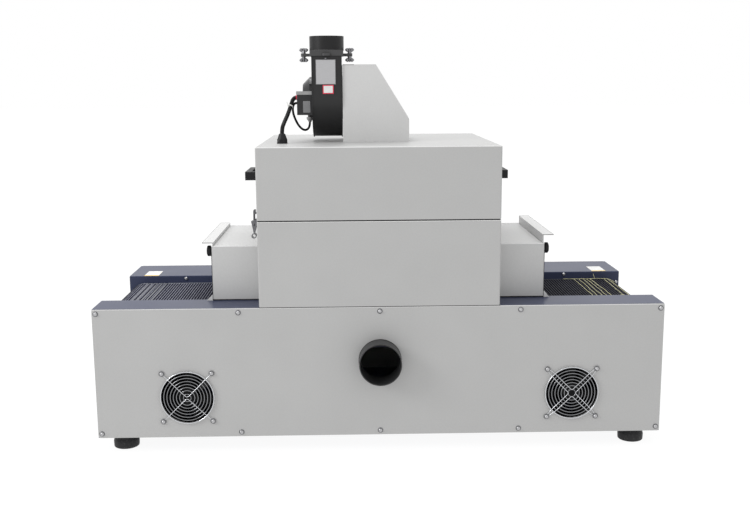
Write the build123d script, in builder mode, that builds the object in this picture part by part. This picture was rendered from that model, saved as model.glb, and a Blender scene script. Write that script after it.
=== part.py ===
"""UV curing tunnel: a bench-top conveyor with a lamp box, two shuttered tunnels and a roof blower.

The frame has +X along the belt, +Y from the fan side to the plain side and +Z up. The origin lies
on the floor, at the middle of the base with its duct spigot. All sizes are in millimetres.
"""

from build123d import *
from math import pi, radians, sqrt, tan
import os

os.makedirs("parts", exist_ok=True)

# Sheet stock and running clearances
sheet = 1.5
bend_radius = 2
seat_gap = 0.3
pin_gap = 0.2

# Base cabinet
base_length = 1200
base_depth = 500
base_height = 280
panel_corner = 5
floor_sheet = 2
foot_height = 34
foot_radius = 27
foot_neck_radius = 23.5
foot_inset = 48

# Belt and its end rollers
belt_drop = 17
belt_thickness = 1.2
belt_margin = 4
nose_radius = 38
shaft_radius = 10
roller_wall = 3
notch_margin = 16
bed_flange = 30
bed_end_gap = 14

# Rails beside the belt
rear_rail_width = 90
front_rail_width = 140
rail_wall_drop = 112
rail_flange_drop = 24

# Duct spigot on the fan side
spigot_radius = 44.5
spigot_wall = 2
spigot_reach = 40
spigot_rise = 164.5
spigot_flange_radius = 58
spigot_flange_sheet = 2
spigot_inset = 18
spigot_seat_step = 0.7

# Cooling fans
fan_inset = 192
fan_rise = 88
fan_width = 119
fan_depth = 38
fan_corner = 5
fan_bore_radius = 57
fan_opening_radius = 56
fan_screw_spacing = 105
fan_screw_radius = 2.3
fan_hub_radius = 22
fan_hub_depth = 8
strut_width = 6
rotor_hub_radius = 21
rotor_hub_length = 24
blade_count = 7
blade_tip_radius = 54
blade_chord = 26
blade_sheet = 1.8
blade_root_angle = 48
blade_tip_angle = 28
rotor_pin_radius = 3

# Wire guards over the fans
guard_ring_radii = (8, 16, 22.8, 29.4, 36, 42.8, 49.4, 56)
guard_wire = 1.8
guard_proud = 3
guard_eye_radius = 5.2

# Lamp box and its lid
box_length = 504
box_height = 180.5
box_rim = 14
gasket_height = 2.5
gasket_width = 10
lid_height = 150
lid_corner = 3

# Lamps and reflectors under the lid
lamp_count = 2
lamp_pitch = 220
lamp_radius = 11
lamp_length = 330
lamp_cap_radius = 14
lamp_cap_length = 26
reflector_width = 150
reflector_depth = 62
reflector_length = 372
reflector_drop = 44
lamp_focus = 38
hanger_width = 26

# Lid hinges
hinge_spacing = 300
hinge_length = 60
hinge_knuckle_radius = 4
hinge_pin_radius = 2
hinge_leaf = 2
hinge_leaf_height = 30
leaf_gap = 1

# Bow handles on the lid
handle_length = 130
handle_reach = 41
handle_height = 18.5
handle_bar = 13
handle_leg = 15

# Toggle latches
latch_inset = 70
latch_plate_width = 26
latch_plate_sheet = 1.5
latch_plate_height = 40
latch_plate_drop = 4
latch_cheek_sheet = 1.5
lever_width = 15
lever_sheet = 1.5
lever_pivot_out = 8
lever_pivot_drop = 8.75
lever_pin_radius = 1.5
lever_knee_out = 16.3
lever_knee_drop = 9.25
lever_nose_rise = 2.5
lever_low_out = 10.8
lever_curl_radius = 5.3
lever_curl_drop = 39.75
lever_curl_out = 12.7
bail_wire_radius = 1.3
bail_pivot_out = 11.8
bail_pivot_drop = 16.75
bail_bar_out = 11.4
bail_bar_rise = 14.75
keeper_width = 22
keeper_height = 26
keeper_hook_rise = 7.75
keeper_hook_lip = 15.75

# Tunnels on both sides of the lamp box
tunnel_length = 102
tunnel_height = 118.5
tunnel_rear_lap = 12
tunnel_front_lap = 30
tunnel_side_rim = 20
tunnel_top_rim = 22
guide_slot = 3.2
guide_lip = 6

# Shutters that slide up and down in the tunnel guides
shutter_sheet = 2
shutter_side_gap = 0.6
shutter_rise = 7.5
shutter_lift_right = 11
shutter_travel = 40
shutter_top_flange = 23
shutter_lip = 15
shutter_lip_drop = 10
shutter_wing_lift = 4
shutter_tongue_gap = 5

# Star knobs that clamp the shutters
knob_drop = 12
knob_inset = 14
knob_stud_radius = 3
knob_boss_radius = 6
knob_boss_length = 2.5
knob_radius = 13
knob_length = 10
knob_lobes = 6
knob_lobe_radius = 3.6

# Suction hood on the lid
hood_left = -74
hood_right = 71
hood_top_right = -1.5
hood_height = 167
hood_shoulder = 54
hood_shoulder_inset = 2.5
hood_depth = 168
hood_bend = 2
air_hole_margin = 30

# Blower on the hood's left wall
blower_gap = 1.5
blower_width = 65.5
blower_near_radius = 86
blower_radius_step = 5
blower_axis_rise = 95.5
blower_side_plate = 2
blower_side_proud = 2
outlet_depth = 70
outlet_rise = 185
outlet_flange_height = 12.5
outlet_flange_lap = 3.5
outlet_bore_radius = 30.5
ear_reach = 20
ear_width = 18
ear_height = 6
ear_corner = 6
ear_hole_radius = 2.3
ear_hole_inset = 6
collar_radius = 37.5
collar_wall = 2.5
collar_height = 30.5
collar_seat_step = 0.7
inlet_radius = 34
motor_radius = 46
motor_reach = 22.5
motor_chamfer = 15.5
motor_flange_radius = 48
motor_flange_sheet = 2
lead_boss_out = 8
lead_boss_front = 12
lead_boss_radius = 4.5
lead_boss_reach = 4
terminal_width = 33
terminal_depth = 28
terminal_height = 50
terminal_rise = 59
terminal_front = 67

# Cable gland and the two blower cables
gland_x = -205
gland_inset = 131.5
gland_radius = 11.5
gland_nut_height = 9
gland_dome_height = 12
gland_dome_taper = 18
gland_flange_height = 3
sleeve_radius = 4.5
lead_radius = 2.5

# Levels and faces that follow from the sizes above
rear_y = spigot_reach - (base_depth + spigot_reach) / 2
front_y = rear_y + base_depth
mid_y = (rear_y + front_y) / 2
floor_z = foot_height
rail_z = foot_height + base_height
belt_z = rail_z - belt_drop
fan_offset = base_length / 2 - fan_inset
belt_rear = rear_y + rear_rail_width
belt_front = front_y - front_rail_width
belt_mid = (belt_rear + belt_front) / 2
roller_x = base_length / 2 - nose_radius
roller_z = belt_z - nose_radius
roller_radius = nose_radius - belt_thickness - seat_gap
notch_z = roller_z - nose_radius - notch_margin
inner_length = base_length - 2 * sheet
box_top = rail_z + box_height
lid_z = box_top + gasket_height
roof_z = lid_z + lid_height
box_wall = box_length / 2
tunnel_rear = belt_rear - tunnel_rear_lap
tunnel_front = belt_front + tunnel_front_lap
tunnel_z = rail_z + tunnel_height
tunnel_end = box_wall + tunnel_length
hood_near = mid_y - hood_depth / 2


def keep(piece, name):
    """Name a finished piece and write it to its own file."""
    piece.part.label = name
    export_step(piece.part, f"parts/{name}.step")


def bent_strip(plane, points, thickness, side=Side.RIGHT, bend=0):
    """The section of a folded sheet whose outer face follows the points, with rounded bends."""
    with BuildSketch(plane) as strip:
        with BuildLine():
            if bend:
                FilletPolyline(*points, radius=bend)
            else:
                Polyline(*points)
            offset(amount=thickness, side=side, kind=Kind.INTERSECTION)
        make_face()
    return strip.sketch


def side_plane(x):
    """A YZ plane at x, whose normal is +X."""
    return Plane.YZ.offset(x)


def face_plane(y):
    """An XZ plane at y, whose normal is -Y, towards the fan side."""
    return Plane.XZ.offset(-y)


# Cabinet floor, a flat plate on the feet
with BuildPart() as cabinet_floor:
    with BuildSketch(Plane.XY.offset(floor_z)):
        with Locations((0, mid_y)):
            Rectangle(inner_length, base_depth - 2 * sheet)
    extrude(amount=floor_sheet)
keep(cabinet_floor, "cabinet_floor")


# Long side panels with rounded corners; only the fan side has holes
def long_panel(y_outside, has_holes):
    with BuildPart() as panel:
        with BuildSketch(face_plane(y_outside + sheet)):
            with Locations((0, floor_z + base_height / 2)):
                RectangleRounded(base_length, base_height, panel_corner)
            if has_holes:
                with Locations((-fan_offset, floor_z + fan_rise), (fan_offset, floor_z + fan_rise)):
                    Circle(fan_opening_radius, mode=Mode.SUBTRACT)
                    with GridLocations(fan_screw_spacing, fan_screw_spacing, 2, 2):
                        Circle(fan_screw_radius, mode=Mode.SUBTRACT)
                with Locations((0, floor_z + spigot_rise)):
                    Circle(spigot_radius + spigot_seat_step + seat_gap, mode=Mode.SUBTRACT)
        extrude(amount=sheet)
    return panel


keep(long_panel(rear_y, True), "rear_panel")
keep(long_panel(front_y - sheet, False), "front_panel")


# End plates, notched between the rails where the belt turns round its rollers
for end_name, end_side in (("left", -1), ("right", 1)):
    with BuildPart() as end_plate:
        with BuildSketch(side_plane(end_side * base_length / 2)):
            with Locations((mid_y, floor_z)):
                Rectangle(base_depth - 2 * sheet, base_height - sheet, align=(Align.CENTER, Align.MIN))
            with Locations((belt_mid, notch_z)):
                Rectangle(belt_front - belt_rear, rail_z, align=(Align.CENTER, Align.MIN),
                          mode=Mode.SUBTRACT)
        extrude(amount=-end_side * sheet)
        with BuildSketch(Plane.XY.offset(notch_z - sheet)):
            with Locations((end_side * (base_length / 2 - sheet - notch_margin / 2), belt_mid)):
                Rectangle(notch_margin, belt_front - belt_rear)
        extrude(amount=sheet)
    keep(end_plate, f"{end_name}_end_plate")


# Rails: folded covers with a top, an inner wall beside the belt and a flange behind the panel
def rail(y_outer, y_inner):
    inward = 1 if y_inner > y_outer else -1
    flange_y = y_outer + inward * sheet
    with BuildPart() as cover:
        fold = [(flange_y, rail_z - rail_flange_drop), (flange_y, rail_z), (y_inner, rail_z),
                (y_inner, rail_z - rail_wall_drop)]
        fold_side = Side.RIGHT if inward > 0 else Side.LEFT
        extrude(bent_strip(Plane.YZ, fold, sheet, fold_side, bend_radius), amount=inner_length / 2, both=True)
        with BuildSketch(Plane.XY.offset(rail_z)):
            with Locations((0, (flange_y + y_inner) / 2)):
                Rectangle(base_length, abs(y_inner - flange_y) - 2 * bend_radius)
        extrude(amount=-sheet)
        with BuildSketch(face_plane(y_inner)):
            with Locations((-roller_x, roller_z), (roller_x, roller_z)):
                Circle(shaft_radius + seat_gap)
        extrude(amount=inward * 2 * sheet, mode=Mode.SUBTRACT)
    return cover


keep(rail(rear_y, belt_rear), "rear_rail")
keep(rail(front_y, belt_front), "front_rail")


# Bed plate under the upper run of the belt, folded down along both rails
bed_length = 2 * (roller_x - nose_radius - bed_end_gap)
bed_z = belt_z - belt_thickness - seat_gap
with BuildPart() as belt_bed:
    bed_fold = [(belt_rear, bed_z - bed_flange), (belt_rear, bed_z), (belt_front, bed_z),
                (belt_front, bed_z - bed_flange)]
    extrude(bent_strip(Plane.YZ, bed_fold, sheet), amount=bed_length / 2, both=True)
keep(belt_bed, "belt_bed")


# The belt, one closed loop round both rollers
with BuildPart() as belt:
    with BuildSketch(face_plane(belt_front - belt_margin)):
        with Locations((0, roller_z)):
            SlotCenterToCenter(2 * roller_x, 2 * nose_radius)
            SlotCenterToCenter(2 * roller_x, 2 * (nose_radius - belt_thickness), mode=Mode.SUBTRACT)
    extrude(amount=belt_front - belt_rear - 2 * belt_margin)
keep(belt, "belt")


# End rollers: tubes with end discs, on shafts that run in the walls of the rails
for end_name, end_side in (("left", -1), ("right", 1)):
    with BuildPart() as roller:
        with BuildSketch(face_plane(belt_front - belt_margin)):
            with Locations((end_side * roller_x, roller_z)):
                Circle(roller_radius)
                Circle(roller_radius - roller_wall, mode=Mode.SUBTRACT)
        extrude(amount=belt_front - belt_rear - 2 * belt_margin)
        for disc_y in (belt_front - belt_margin, belt_rear + belt_margin + roller_wall):
            with BuildSketch(face_plane(disc_y)):
                with Locations((end_side * roller_x, roller_z)):
                    Circle(roller_radius)
            extrude(amount=roller_wall)
        with BuildSketch(face_plane(belt_front + 3 * sheet)):
            with Locations((end_side * roller_x, roller_z)):
                Circle(shaft_radius)
        extrude(amount=belt_front - belt_rear + 6 * sheet)
    keep(roller, f"{end_name}_roller")


# Rubber levelling feet, turned with a narrow neck and a rounded tread
with BuildPart() as feet:
    with BuildSketch(Plane.XZ):
        with BuildLine():
            Polyline((foot_radius - 2, 0), (0, 0), (0, foot_height), (foot_neck_radius, foot_height),
                     (foot_neck_radius, foot_height - 7))
            Spline((foot_neck_radius, foot_height - 7), (foot_radius, foot_height * 0.45),
                   (foot_radius, 3), tangents=((0, -1), (0, -1)))
            RadiusArc((foot_radius, 3), (foot_radius - 2, 0), 3)
        make_face()
    foot = revolve(mode=Mode.PRIVATE)
    foot_span = (base_length - 2 * foot_inset, base_depth - 2 * foot_inset)
    with Locations((0, mid_y)):
        with GridLocations(*foot_span, 2, 2):
            add(foot)
keep(feet, "feet")


# Cooling fans behind the rear panel: frame with struts and hub, and a bladed rotor
fan_face = rear_y + sheet
for fan_name, fan_side in (("left", -1), ("right", 1)):
    fan_x = fan_side * fan_offset
    fan_z = floor_z + fan_rise
    with BuildPart() as fan_frame:
        with BuildSketch(face_plane(fan_face + fan_depth)):
            with Locations((fan_x, fan_z)):
                RectangleRounded(fan_width, fan_width, fan_corner)
                Circle(fan_bore_radius, mode=Mode.SUBTRACT)
                with GridLocations(fan_screw_spacing, fan_screw_spacing, 2, 2):
                    Circle(fan_screw_radius, mode=Mode.SUBTRACT)
        extrude(amount=fan_depth)
        with BuildSketch(face_plane(fan_face + fan_depth)):
            with Locations((fan_x, fan_z)):
                Circle(fan_hub_radius)
                with PolarLocations(fan_bore_radius / 2, 4, 45):
                    Rectangle(fan_bore_radius + 2, strut_width)
                Circle(rotor_pin_radius + pin_gap, mode=Mode.SUBTRACT)
        extrude(amount=fan_hub_depth - 4)
    keep(fan_frame, f"{fan_name}_fan_frame")

    blade_mid = fan_face + fan_depth - fan_hub_depth - rotor_hub_length / 2
    with BuildPart() as fan_rotor:
        with BuildSketch(face_plane(blade_mid + rotor_hub_length / 2)):
            with Locations((fan_x, fan_z)):
                Circle(rotor_hub_radius)
        extrude(amount=rotor_hub_length)
        fillet(fan_rotor.edges().filter_by(GeomType.CIRCLE).sort_by(Axis.Y)[0], 3)
        with BuildSketch(face_plane(fan_face + fan_depth)):
            with Locations((fan_x, fan_z)):
                Circle(rotor_pin_radius)
        extrude(amount=fan_hub_depth + 1)
        for blade in range(blade_count):
            turn = 360 * blade / blade_count
            out = Vector(0, 0, 1).rotate(Axis.Y, turn)
            hub = Vector(fan_x, blade_mid, fan_z)
            stations = ((rotor_hub_radius - 2, blade_root_angle, 0.8), (blade_tip_radius, blade_tip_angle, 1))
            for reach, pitch, width in stations:
                chord_line = Vector(0, 1, 0).rotate(Axis((0, 0, 0), out), 90 - pitch)
                with BuildSketch(Plane(origin=hub + out * reach, x_dir=chord_line, z_dir=out)):
                    Rectangle(blade_chord * width, blade_sheet)
            loft()
    keep(fan_rotor, f"{fan_name}_fan_rotor")


# Wire guards: concentric rings carried by bars that end in an eye at each screw
for fan_name, fan_side in (("left", -1), ("right", 1)):
    fan_x = fan_side * fan_offset
    fan_z = floor_z + fan_rise
    with BuildPart() as fan_guard:
        with BuildSketch(face_plane(rear_y - guard_proud)):
            with Locations((fan_x, fan_z)):
                for ring_radius in guard_ring_radii:
                    Circle(ring_radius + guard_wire / 2)
                    Circle(ring_radius - guard_wire / 2, mode=Mode.SUBTRACT)
        extrude(amount=guard_wire)
        eye_reach = fan_screw_spacing / 2 * 2 ** 0.5
        with BuildSketch(face_plane(rear_y)):
            with Locations((fan_x, fan_z)):
                with PolarLocations(eye_reach, 4, 45):
                    Circle(guard_eye_radius)
                with PolarLocations((eye_reach + guard_ring_radii[0]) / 2, 4, 45):
                    Rectangle(eye_reach - guard_ring_radii[0], guard_wire)
                with PolarLocations(eye_reach, 4, 45):
                    Circle(fan_screw_radius, mode=Mode.SUBTRACT)
        extrude(amount=guard_proud + guard_wire / 3)
    keep(fan_guard, f"{fan_name}_fan_guard")


# Duct spigot: one turned profile, with a flange behind the panel and a seat that fills its hole
spigot_z = floor_z + spigot_rise
spigot_bore = spigot_radius - spigot_wall
spigot_seat = spigot_radius + spigot_seat_step
with BuildPart() as duct_spigot:
    with BuildSketch(side_plane(0)):
        with BuildLine():
            Polyline((rear_y - spigot_reach, spigot_z + spigot_bore),
                     (rear_y - spigot_reach, spigot_z + spigot_radius),
                     (rear_y - spigot_seat_step, spigot_z + spigot_radius),
                     (rear_y, spigot_z + spigot_seat), (rear_y + sheet, spigot_z + spigot_seat),
                     (rear_y + sheet, spigot_z + spigot_flange_radius),
                     (rear_y + sheet + spigot_flange_sheet, spigot_z + spigot_flange_radius),
                     (rear_y + sheet + spigot_flange_sheet, spigot_z + spigot_seat),
                     (rear_y + sheet + spigot_inset, spigot_z + spigot_seat),
                     (rear_y + sheet + spigot_inset, spigot_z + spigot_bore), close=True)
        make_face()
    revolve(axis=Axis((0, 0, spigot_z), (0, 1, 0)))
keep(duct_spigot, "duct_spigot")


# Lower lamp box: four folded walls with a rim, cut open where the tunnels meet it
passage_depth = tunnel_front - tunnel_rear - 2 * sheet
passage_mid = (tunnel_rear + tunnel_front) / 2
passage_height = tunnel_height - sheet
with BuildPart() as lamp_box:
    with BuildSketch(Plane.XY.offset(rail_z)):
        with Locations((0, mid_y)):
            RectangleRounded(box_length, base_depth, lid_corner)
            Rectangle(box_length - 2 * sheet, base_depth - 2 * sheet, mode=Mode.SUBTRACT)
    extrude(amount=box_height)
    with BuildSketch(Plane.XY.offset(box_top)):
        with Locations((0, mid_y)):
            RectangleRounded(box_length, base_depth, lid_corner)
            Rectangle(box_length - 2 * box_rim, base_depth - 2 * box_rim, mode=Mode.SUBTRACT)
    extrude(amount=-sheet)
    with BuildSketch(side_plane(0)):
        with Locations((passage_mid, rail_z)):
            Rectangle(passage_depth, passage_height, align=(Align.CENTER, Align.MIN))
    extrude(amount=box_length, both=True, mode=Mode.SUBTRACT)
keep(lamp_box, "lamp_box")


# Soft gasket on the rim, which the lid rests on
with BuildPart() as lid_gasket:
    with BuildSketch(Plane.XY.offset(box_top)):
        with Locations((0, mid_y)):
            Rectangle(box_length - 2 * sheet, base_depth - 2 * sheet)
            Rectangle(box_length - 2 * sheet - 2 * gasket_width, base_depth - 2 * sheet - 2 * gasket_width,
                      mode=Mode.SUBTRACT)
    extrude(amount=gasket_height)
keep(lid_gasket, "lid_gasket")


# Lid: a deep folded cover, open below, with a rim and an air hole under the hood
with BuildPart() as lid:
    with BuildSketch(Plane.XY.offset(lid_z)):
        with Locations((0, mid_y)):
            RectangleRounded(box_length, base_depth, lid_corner)
    extrude(amount=lid_height)
    fillet(lid.faces().sort_by(Axis.Z)[-1].edges(), lid_corner - sheet / 2)
    with BuildSketch(Plane.XY.offset(lid_z)):
        with Locations((0, mid_y)):
            Rectangle(box_length - 2 * sheet, base_depth - 2 * sheet)
    extrude(amount=lid_height - sheet, mode=Mode.SUBTRACT)
    with BuildSketch(Plane.XY.offset(lid_z)):
        with Locations((0, mid_y)):
            RectangleRounded(box_length, base_depth, lid_corner)
            Rectangle(box_length - 2 * box_rim, base_depth - 2 * box_rim, mode=Mode.SUBTRACT)
    extrude(amount=sheet)
    with BuildSketch(Plane.XY.offset(roof_z)):
        with Locations(((hood_left + hood_right) / 2, mid_y)):
            Rectangle(hood_right - hood_left - 2 * air_hole_margin, hood_depth - 2 * air_hole_margin)
    extrude(amount=-2 * sheet, mode=Mode.SUBTRACT)
keep(lid, "lid")


# Reflectors: curved channels hung under the lid, closed by end plates that carry the lamps
reflector_top = roof_z - sheet - reflector_drop
lamp_z = reflector_top - lamp_focus
arc_radius = ((reflector_width / 2) ** 2 + reflector_depth ** 2) / (2 * reflector_depth)
hanger_sag = arc_radius - sqrt(arc_radius ** 2 - (reflector_width / 4) ** 2)
lamp_spots = [(lamp_pitch * (index - (lamp_count - 1) / 2)) for index in range(lamp_count)]
with BuildPart() as reflectors:
    for lamp_x in lamp_spots:
        half = reflector_width / 2
        with BuildSketch(face_plane(mid_y + reflector_length / 2)):
            with BuildLine():
                ThreePointArc((lamp_x - half, reflector_top - reflector_depth), (lamp_x, reflector_top),
                              (lamp_x + half, reflector_top - reflector_depth))
                offset(amount=sheet, side=Side.RIGHT)
            make_face()
        extrude(amount=reflector_length)
        for end_y in (mid_y + reflector_length / 2, mid_y - reflector_length / 2 + sheet):
            with BuildSketch(face_plane(end_y)):
                with BuildLine():
                    ThreePointArc((lamp_x - half, reflector_top - reflector_depth), (lamp_x, reflector_top),
                                  (lamp_x + half, reflector_top - reflector_depth))
                    Line((lamp_x + half, reflector_top - reflector_depth),
                         (lamp_x - half, reflector_top - reflector_depth))
                make_face()
                with Locations((lamp_x, lamp_z)):
                    Circle(lamp_radius + seat_gap, mode=Mode.SUBTRACT)
            extrude(amount=sheet)
        for hanger_y in (mid_y - reflector_length / 3, mid_y + reflector_length / 3):
            with BuildSketch(face_plane(hanger_y + hanger_width / 2)):
                with Locations((lamp_x - half / 2, roof_z - sheet), (lamp_x + half / 2, roof_z - sheet)):
                    Rectangle(sheet, reflector_drop + hanger_sag, align=(Align.CENTER, Align.MAX))
            extrude(amount=hanger_width)
keep(reflectors, "reflectors")


# Lamps: quartz tubes with ceramic caps outside the reflector ends
with BuildPart() as uv_lamps:
    for lamp_x in lamp_spots:
        tube_reach = reflector_length / 2 + lamp_cap_length / 2
        with BuildSketch(face_plane(mid_y + tube_reach)):
            with Locations((lamp_x, lamp_z)):
                Circle(lamp_radius)
        extrude(amount=2 * tube_reach)
        for cap_y in (mid_y + reflector_length / 2 + seat_gap + lamp_cap_length,
                      mid_y - reflector_length / 2 - seat_gap):
            with BuildSketch(face_plane(cap_y)):
                with Locations((lamp_x, lamp_z)):
                    Circle(lamp_cap_radius)
            extrude(amount=lamp_cap_length)
keep(uv_lamps, "uv_lamps")


# Butt hinges on the right wall: the box leaves carry the pins, the lid leaves turn on them
hinge_x = box_wall + hinge_knuckle_radius
hinge_z = (box_top + lid_z) / 2
hinge_spots = (mid_y - hinge_spacing / 2, mid_y + hinge_spacing / 2)
knuckle_third = hinge_length / 3

with BuildPart() as box_hinges:
    for hinge_y in hinge_spots:
        for low in (hinge_y - hinge_length / 2, hinge_y + hinge_length / 2 - knuckle_third):
            with BuildSketch(face_plane(low + knuckle_third)):
                with Locations((hinge_x, hinge_z)):
                    Circle(hinge_knuckle_radius)
                with Locations((box_wall, hinge_z)):
                    Rectangle(hinge_leaf, hinge_leaf_height, align=(Align.MIN, Align.MAX))
            extrude(amount=knuckle_third)
        with BuildSketch(face_plane(hinge_y + hinge_length / 2)):
            with Locations((box_wall, hinge_z - hinge_knuckle_radius - leaf_gap)):
                Rectangle(hinge_leaf, hinge_leaf_height - hinge_knuckle_radius - leaf_gap,
                          align=(Align.MIN, Align.MAX))
            with Locations((hinge_x, hinge_z)):
                Circle(hinge_pin_radius)
        extrude(amount=hinge_length)
keep(box_hinges, "box_hinges")

with BuildPart() as lid_hinges:
    for hinge_y in hinge_spots:
        middle = knuckle_third / 2 - seat_gap
        with BuildSketch(face_plane(hinge_y + middle)):
            with Locations((hinge_x, hinge_z)):
                Circle(hinge_knuckle_radius)
            with Locations((box_wall, hinge_z)):
                Rectangle(hinge_leaf, hinge_leaf_height, align=(Align.MIN, Align.MIN))
            with Locations((hinge_x, hinge_z)):
                Circle(hinge_pin_radius + pin_gap, mode=Mode.SUBTRACT)
        extrude(amount=2 * middle)
        with BuildSketch(face_plane(hinge_y + hinge_length / 2)):
            with Locations((box_wall, hinge_z + hinge_knuckle_radius + leaf_gap)):
                Rectangle(hinge_leaf, hinge_leaf_height - hinge_knuckle_radius - leaf_gap,
                          align=(Align.MIN, Align.MIN))
        extrude(amount=hinge_length)
keep(lid_hinges, "lid_hinges")


# Bow handles at mid height on the lid's left and right walls
handle_z = lid_z + lid_height / 2
with BuildPart() as lid_handles:
    for side in (-1, 1):
        with BuildSketch(Plane.XY.offset(handle_z - handle_height / 2)):
            with Locations((side * (box_wall + handle_reach / 2), mid_y)):
                Rectangle(handle_reach, handle_length)
            with Locations((side * (box_wall + (handle_reach - handle_bar) / 2), mid_y)):
                Rectangle(handle_reach - handle_bar, handle_length - 2 * handle_leg, mode=Mode.SUBTRACT)
        extrude(amount=handle_height)
    outer_corners = lid_handles.edges().filter_by(Axis.Z).group_by(SortBy.DISTANCE)[-1]
    fillet(outer_corners, 6)
keep(lid_handles, "lid_handles")


# Toggle latches on the left wall, at both ends of the lamp box
def outward(out, rise):
    """A point of the latch section: out from the left wall, and up from the parting line."""
    return (-box_wall - out, hinge_z + rise)


latch_spots = {"rear": rear_y + latch_inset, "front": front_y - latch_inset}
cheek_inside = latch_plate_width / 2 - latch_cheek_sheet
with BuildPart() as latch_bases:
    for latch_y in latch_spots.values():
        with BuildSketch(face_plane(latch_y + latch_plate_width / 2)):
            with BuildLine():
                Polyline(outward(0, -latch_plate_drop), outward(latch_plate_sheet, -latch_plate_drop),
                         outward(latch_plate_sheet, -latch_plate_drop - latch_plate_height),
                         outward(0, -latch_plate_drop - latch_plate_height), close=True)
            make_face()
        extrude(amount=latch_plate_width)
        for cheek_y in (latch_y + latch_plate_width / 2, latch_y - cheek_inside):
            with BuildSketch(face_plane(cheek_y)):
                with Locations(outward(lever_pivot_out, -lever_pivot_drop)):
                    Circle(4)
                with Locations(outward(lever_pivot_out / 2, -lever_pivot_drop)):
                    Rectangle(lever_pivot_out, 8)
                with Locations(outward(lever_pivot_out, -lever_pivot_drop)):
                    Circle(lever_pin_radius + pin_gap, mode=Mode.SUBTRACT)
            extrude(amount=latch_cheek_sheet)
keep(latch_bases, "latch_bases")

with BuildPart() as latch_keepers:
    for latch_y in latch_spots.values():
        hook_out = bail_bar_out - bail_wire_radius - seat_gap
        hook = [outward(0, keeper_hook_rise + keeper_height), outward(0, keeper_hook_rise),
                outward(hook_out, keeper_hook_rise), outward(hook_out, keeper_hook_lip)]
        hook_strip = bent_strip(face_plane(latch_y + keeper_width / 2), hook, latch_plate_sheet, Side.RIGHT)
        extrude(hook_strip, amount=keeper_width)
keep(latch_keepers, "latch_keepers")

lever_curl = outward(lever_curl_out, -lever_curl_drop)
for latch_name, latch_y in latch_spots.items():
    with BuildPart() as lever:
        with BuildSketch(face_plane(latch_y + lever_width / 2)):
            with BuildLine():
                Polyline(outward(lever_pivot_out, -lever_knee_drop + lever_nose_rise),
                         outward(lever_knee_out, -lever_knee_drop),
                         outward(lever_low_out, -lever_curl_drop + lever_curl_radius / 2))
                offset(amount=lever_sheet, side=Side.RIGHT, kind=Kind.INTERSECTION)
            make_face()
            with Locations(lever_curl):
                Circle(lever_curl_radius)
                Circle(lever_curl_radius - lever_sheet, mode=Mode.SUBTRACT)
        extrude(amount=lever_width)
        for cheek_y in (latch_y + lever_width / 2, latch_y - lever_width / 2 + lever_sheet):
            with BuildSketch(face_plane(cheek_y)):
                with BuildLine():
                    Polyline(outward(lever_pivot_out - 3, -lever_knee_drop + lever_nose_rise),
                             outward(lever_pivot_out, -lever_knee_drop + lever_nose_rise),
                             outward(lever_knee_out, -lever_knee_drop),
                             outward(lever_low_out, -lever_curl_drop + lever_curl_radius),
                             outward(lever_pivot_out - 3, -lever_pivot_drop - 5), close=True)
                make_face()
                with Locations(outward(bail_pivot_out, -bail_pivot_drop)):
                    Circle(bail_wire_radius + pin_gap, mode=Mode.SUBTRACT)
            extrude(amount=lever_sheet)
        with BuildSketch(face_plane(latch_y + latch_plate_width / 2)):
            with Locations(outward(lever_pivot_out, -lever_pivot_drop)):
                Circle(lever_pin_radius)
        extrude(amount=latch_plate_width)
    keep(lever, f"{latch_name}_latch_lever")

    leg_y = (cheek_inside + lever_width / 2) / 2
    with BuildPart() as bail:
        bail_low = outward(bail_pivot_out, -bail_pivot_drop)
        bail_high = outward(bail_bar_out, bail_bar_rise)
        with BuildLine() as bail_wire:
            FilletPolyline((bail_low[0], latch_y - lever_width / 2 + lever_sheet + 0.5, bail_low[1]),
                           (bail_low[0], latch_y - leg_y, bail_low[1]),
                           (bail_high[0], latch_y - leg_y, bail_high[1]),
                           (bail_high[0], latch_y + leg_y, bail_high[1]),
                           (bail_low[0], latch_y + leg_y, bail_low[1]),
                           (bail_low[0], latch_y + lever_width / 2 - lever_sheet - 0.5, bail_low[1]),
                           radius=1.5)
        with BuildSketch(Plane(origin=bail_wire.line @ 0, z_dir=bail_wire.line % 0)):
            Circle(bail_wire_radius)
        sweep(path=bail_wire.line)
    keep(bail, f"{latch_name}_latch_bail")


# Tunnels: covers open below and at both ends, with a rim and two guide channels at the outer end
def tunnel(side):
    x_end = side * tunnel_end
    depth = tunnel_front - tunnel_rear
    with BuildPart() as cover:
        fold = [(tunnel_rear, rail_z), (tunnel_rear, tunnel_z), (tunnel_front, tunnel_z),
                (tunnel_front, rail_z)]
        extrude(bent_strip(side_plane(side * box_wall), fold, sheet, bend=bend_radius),
                amount=side * tunnel_length)
        with BuildSketch(side_plane(x_end)) as rim:
            with Locations((passage_mid, rail_z)):
                Rectangle(depth, tunnel_height, align=(Align.CENTER, Align.MIN))
                rim_corners = rim.vertices().group_by(Axis.Y)[-1]
                fillet(rim_corners, bend_radius)
                Rectangle(depth - 2 * tunnel_side_rim, tunnel_height - tunnel_top_rim,
                          align=(Align.CENTER, Align.MIN), mode=Mode.SUBTRACT)
            with Locations((tunnel_rear + knob_inset, tunnel_z - knob_drop),
                           (tunnel_front - knob_inset, tunnel_z - knob_drop)):
                Circle(knob_stud_radius + pin_gap, mode=Mode.SUBTRACT)
        extrude(amount=-side * sheet)
        for y_wall, turn in ((tunnel_rear, 1), (tunnel_front, -1)):
            guide = [(x_end, y_wall), (x_end + side * (guide_slot + sheet), y_wall),
                     (x_end + side * (guide_slot + sheet), y_wall + turn * guide_lip)]
            guide_side = Side.LEFT if side * turn > 0 else Side.RIGHT
            guide_strip = bent_strip(Plane.XY.offset(rail_z), guide, sheet, guide_side)
            extrude(guide_strip, amount=tunnel_height - bend_radius)
    return cover


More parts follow.
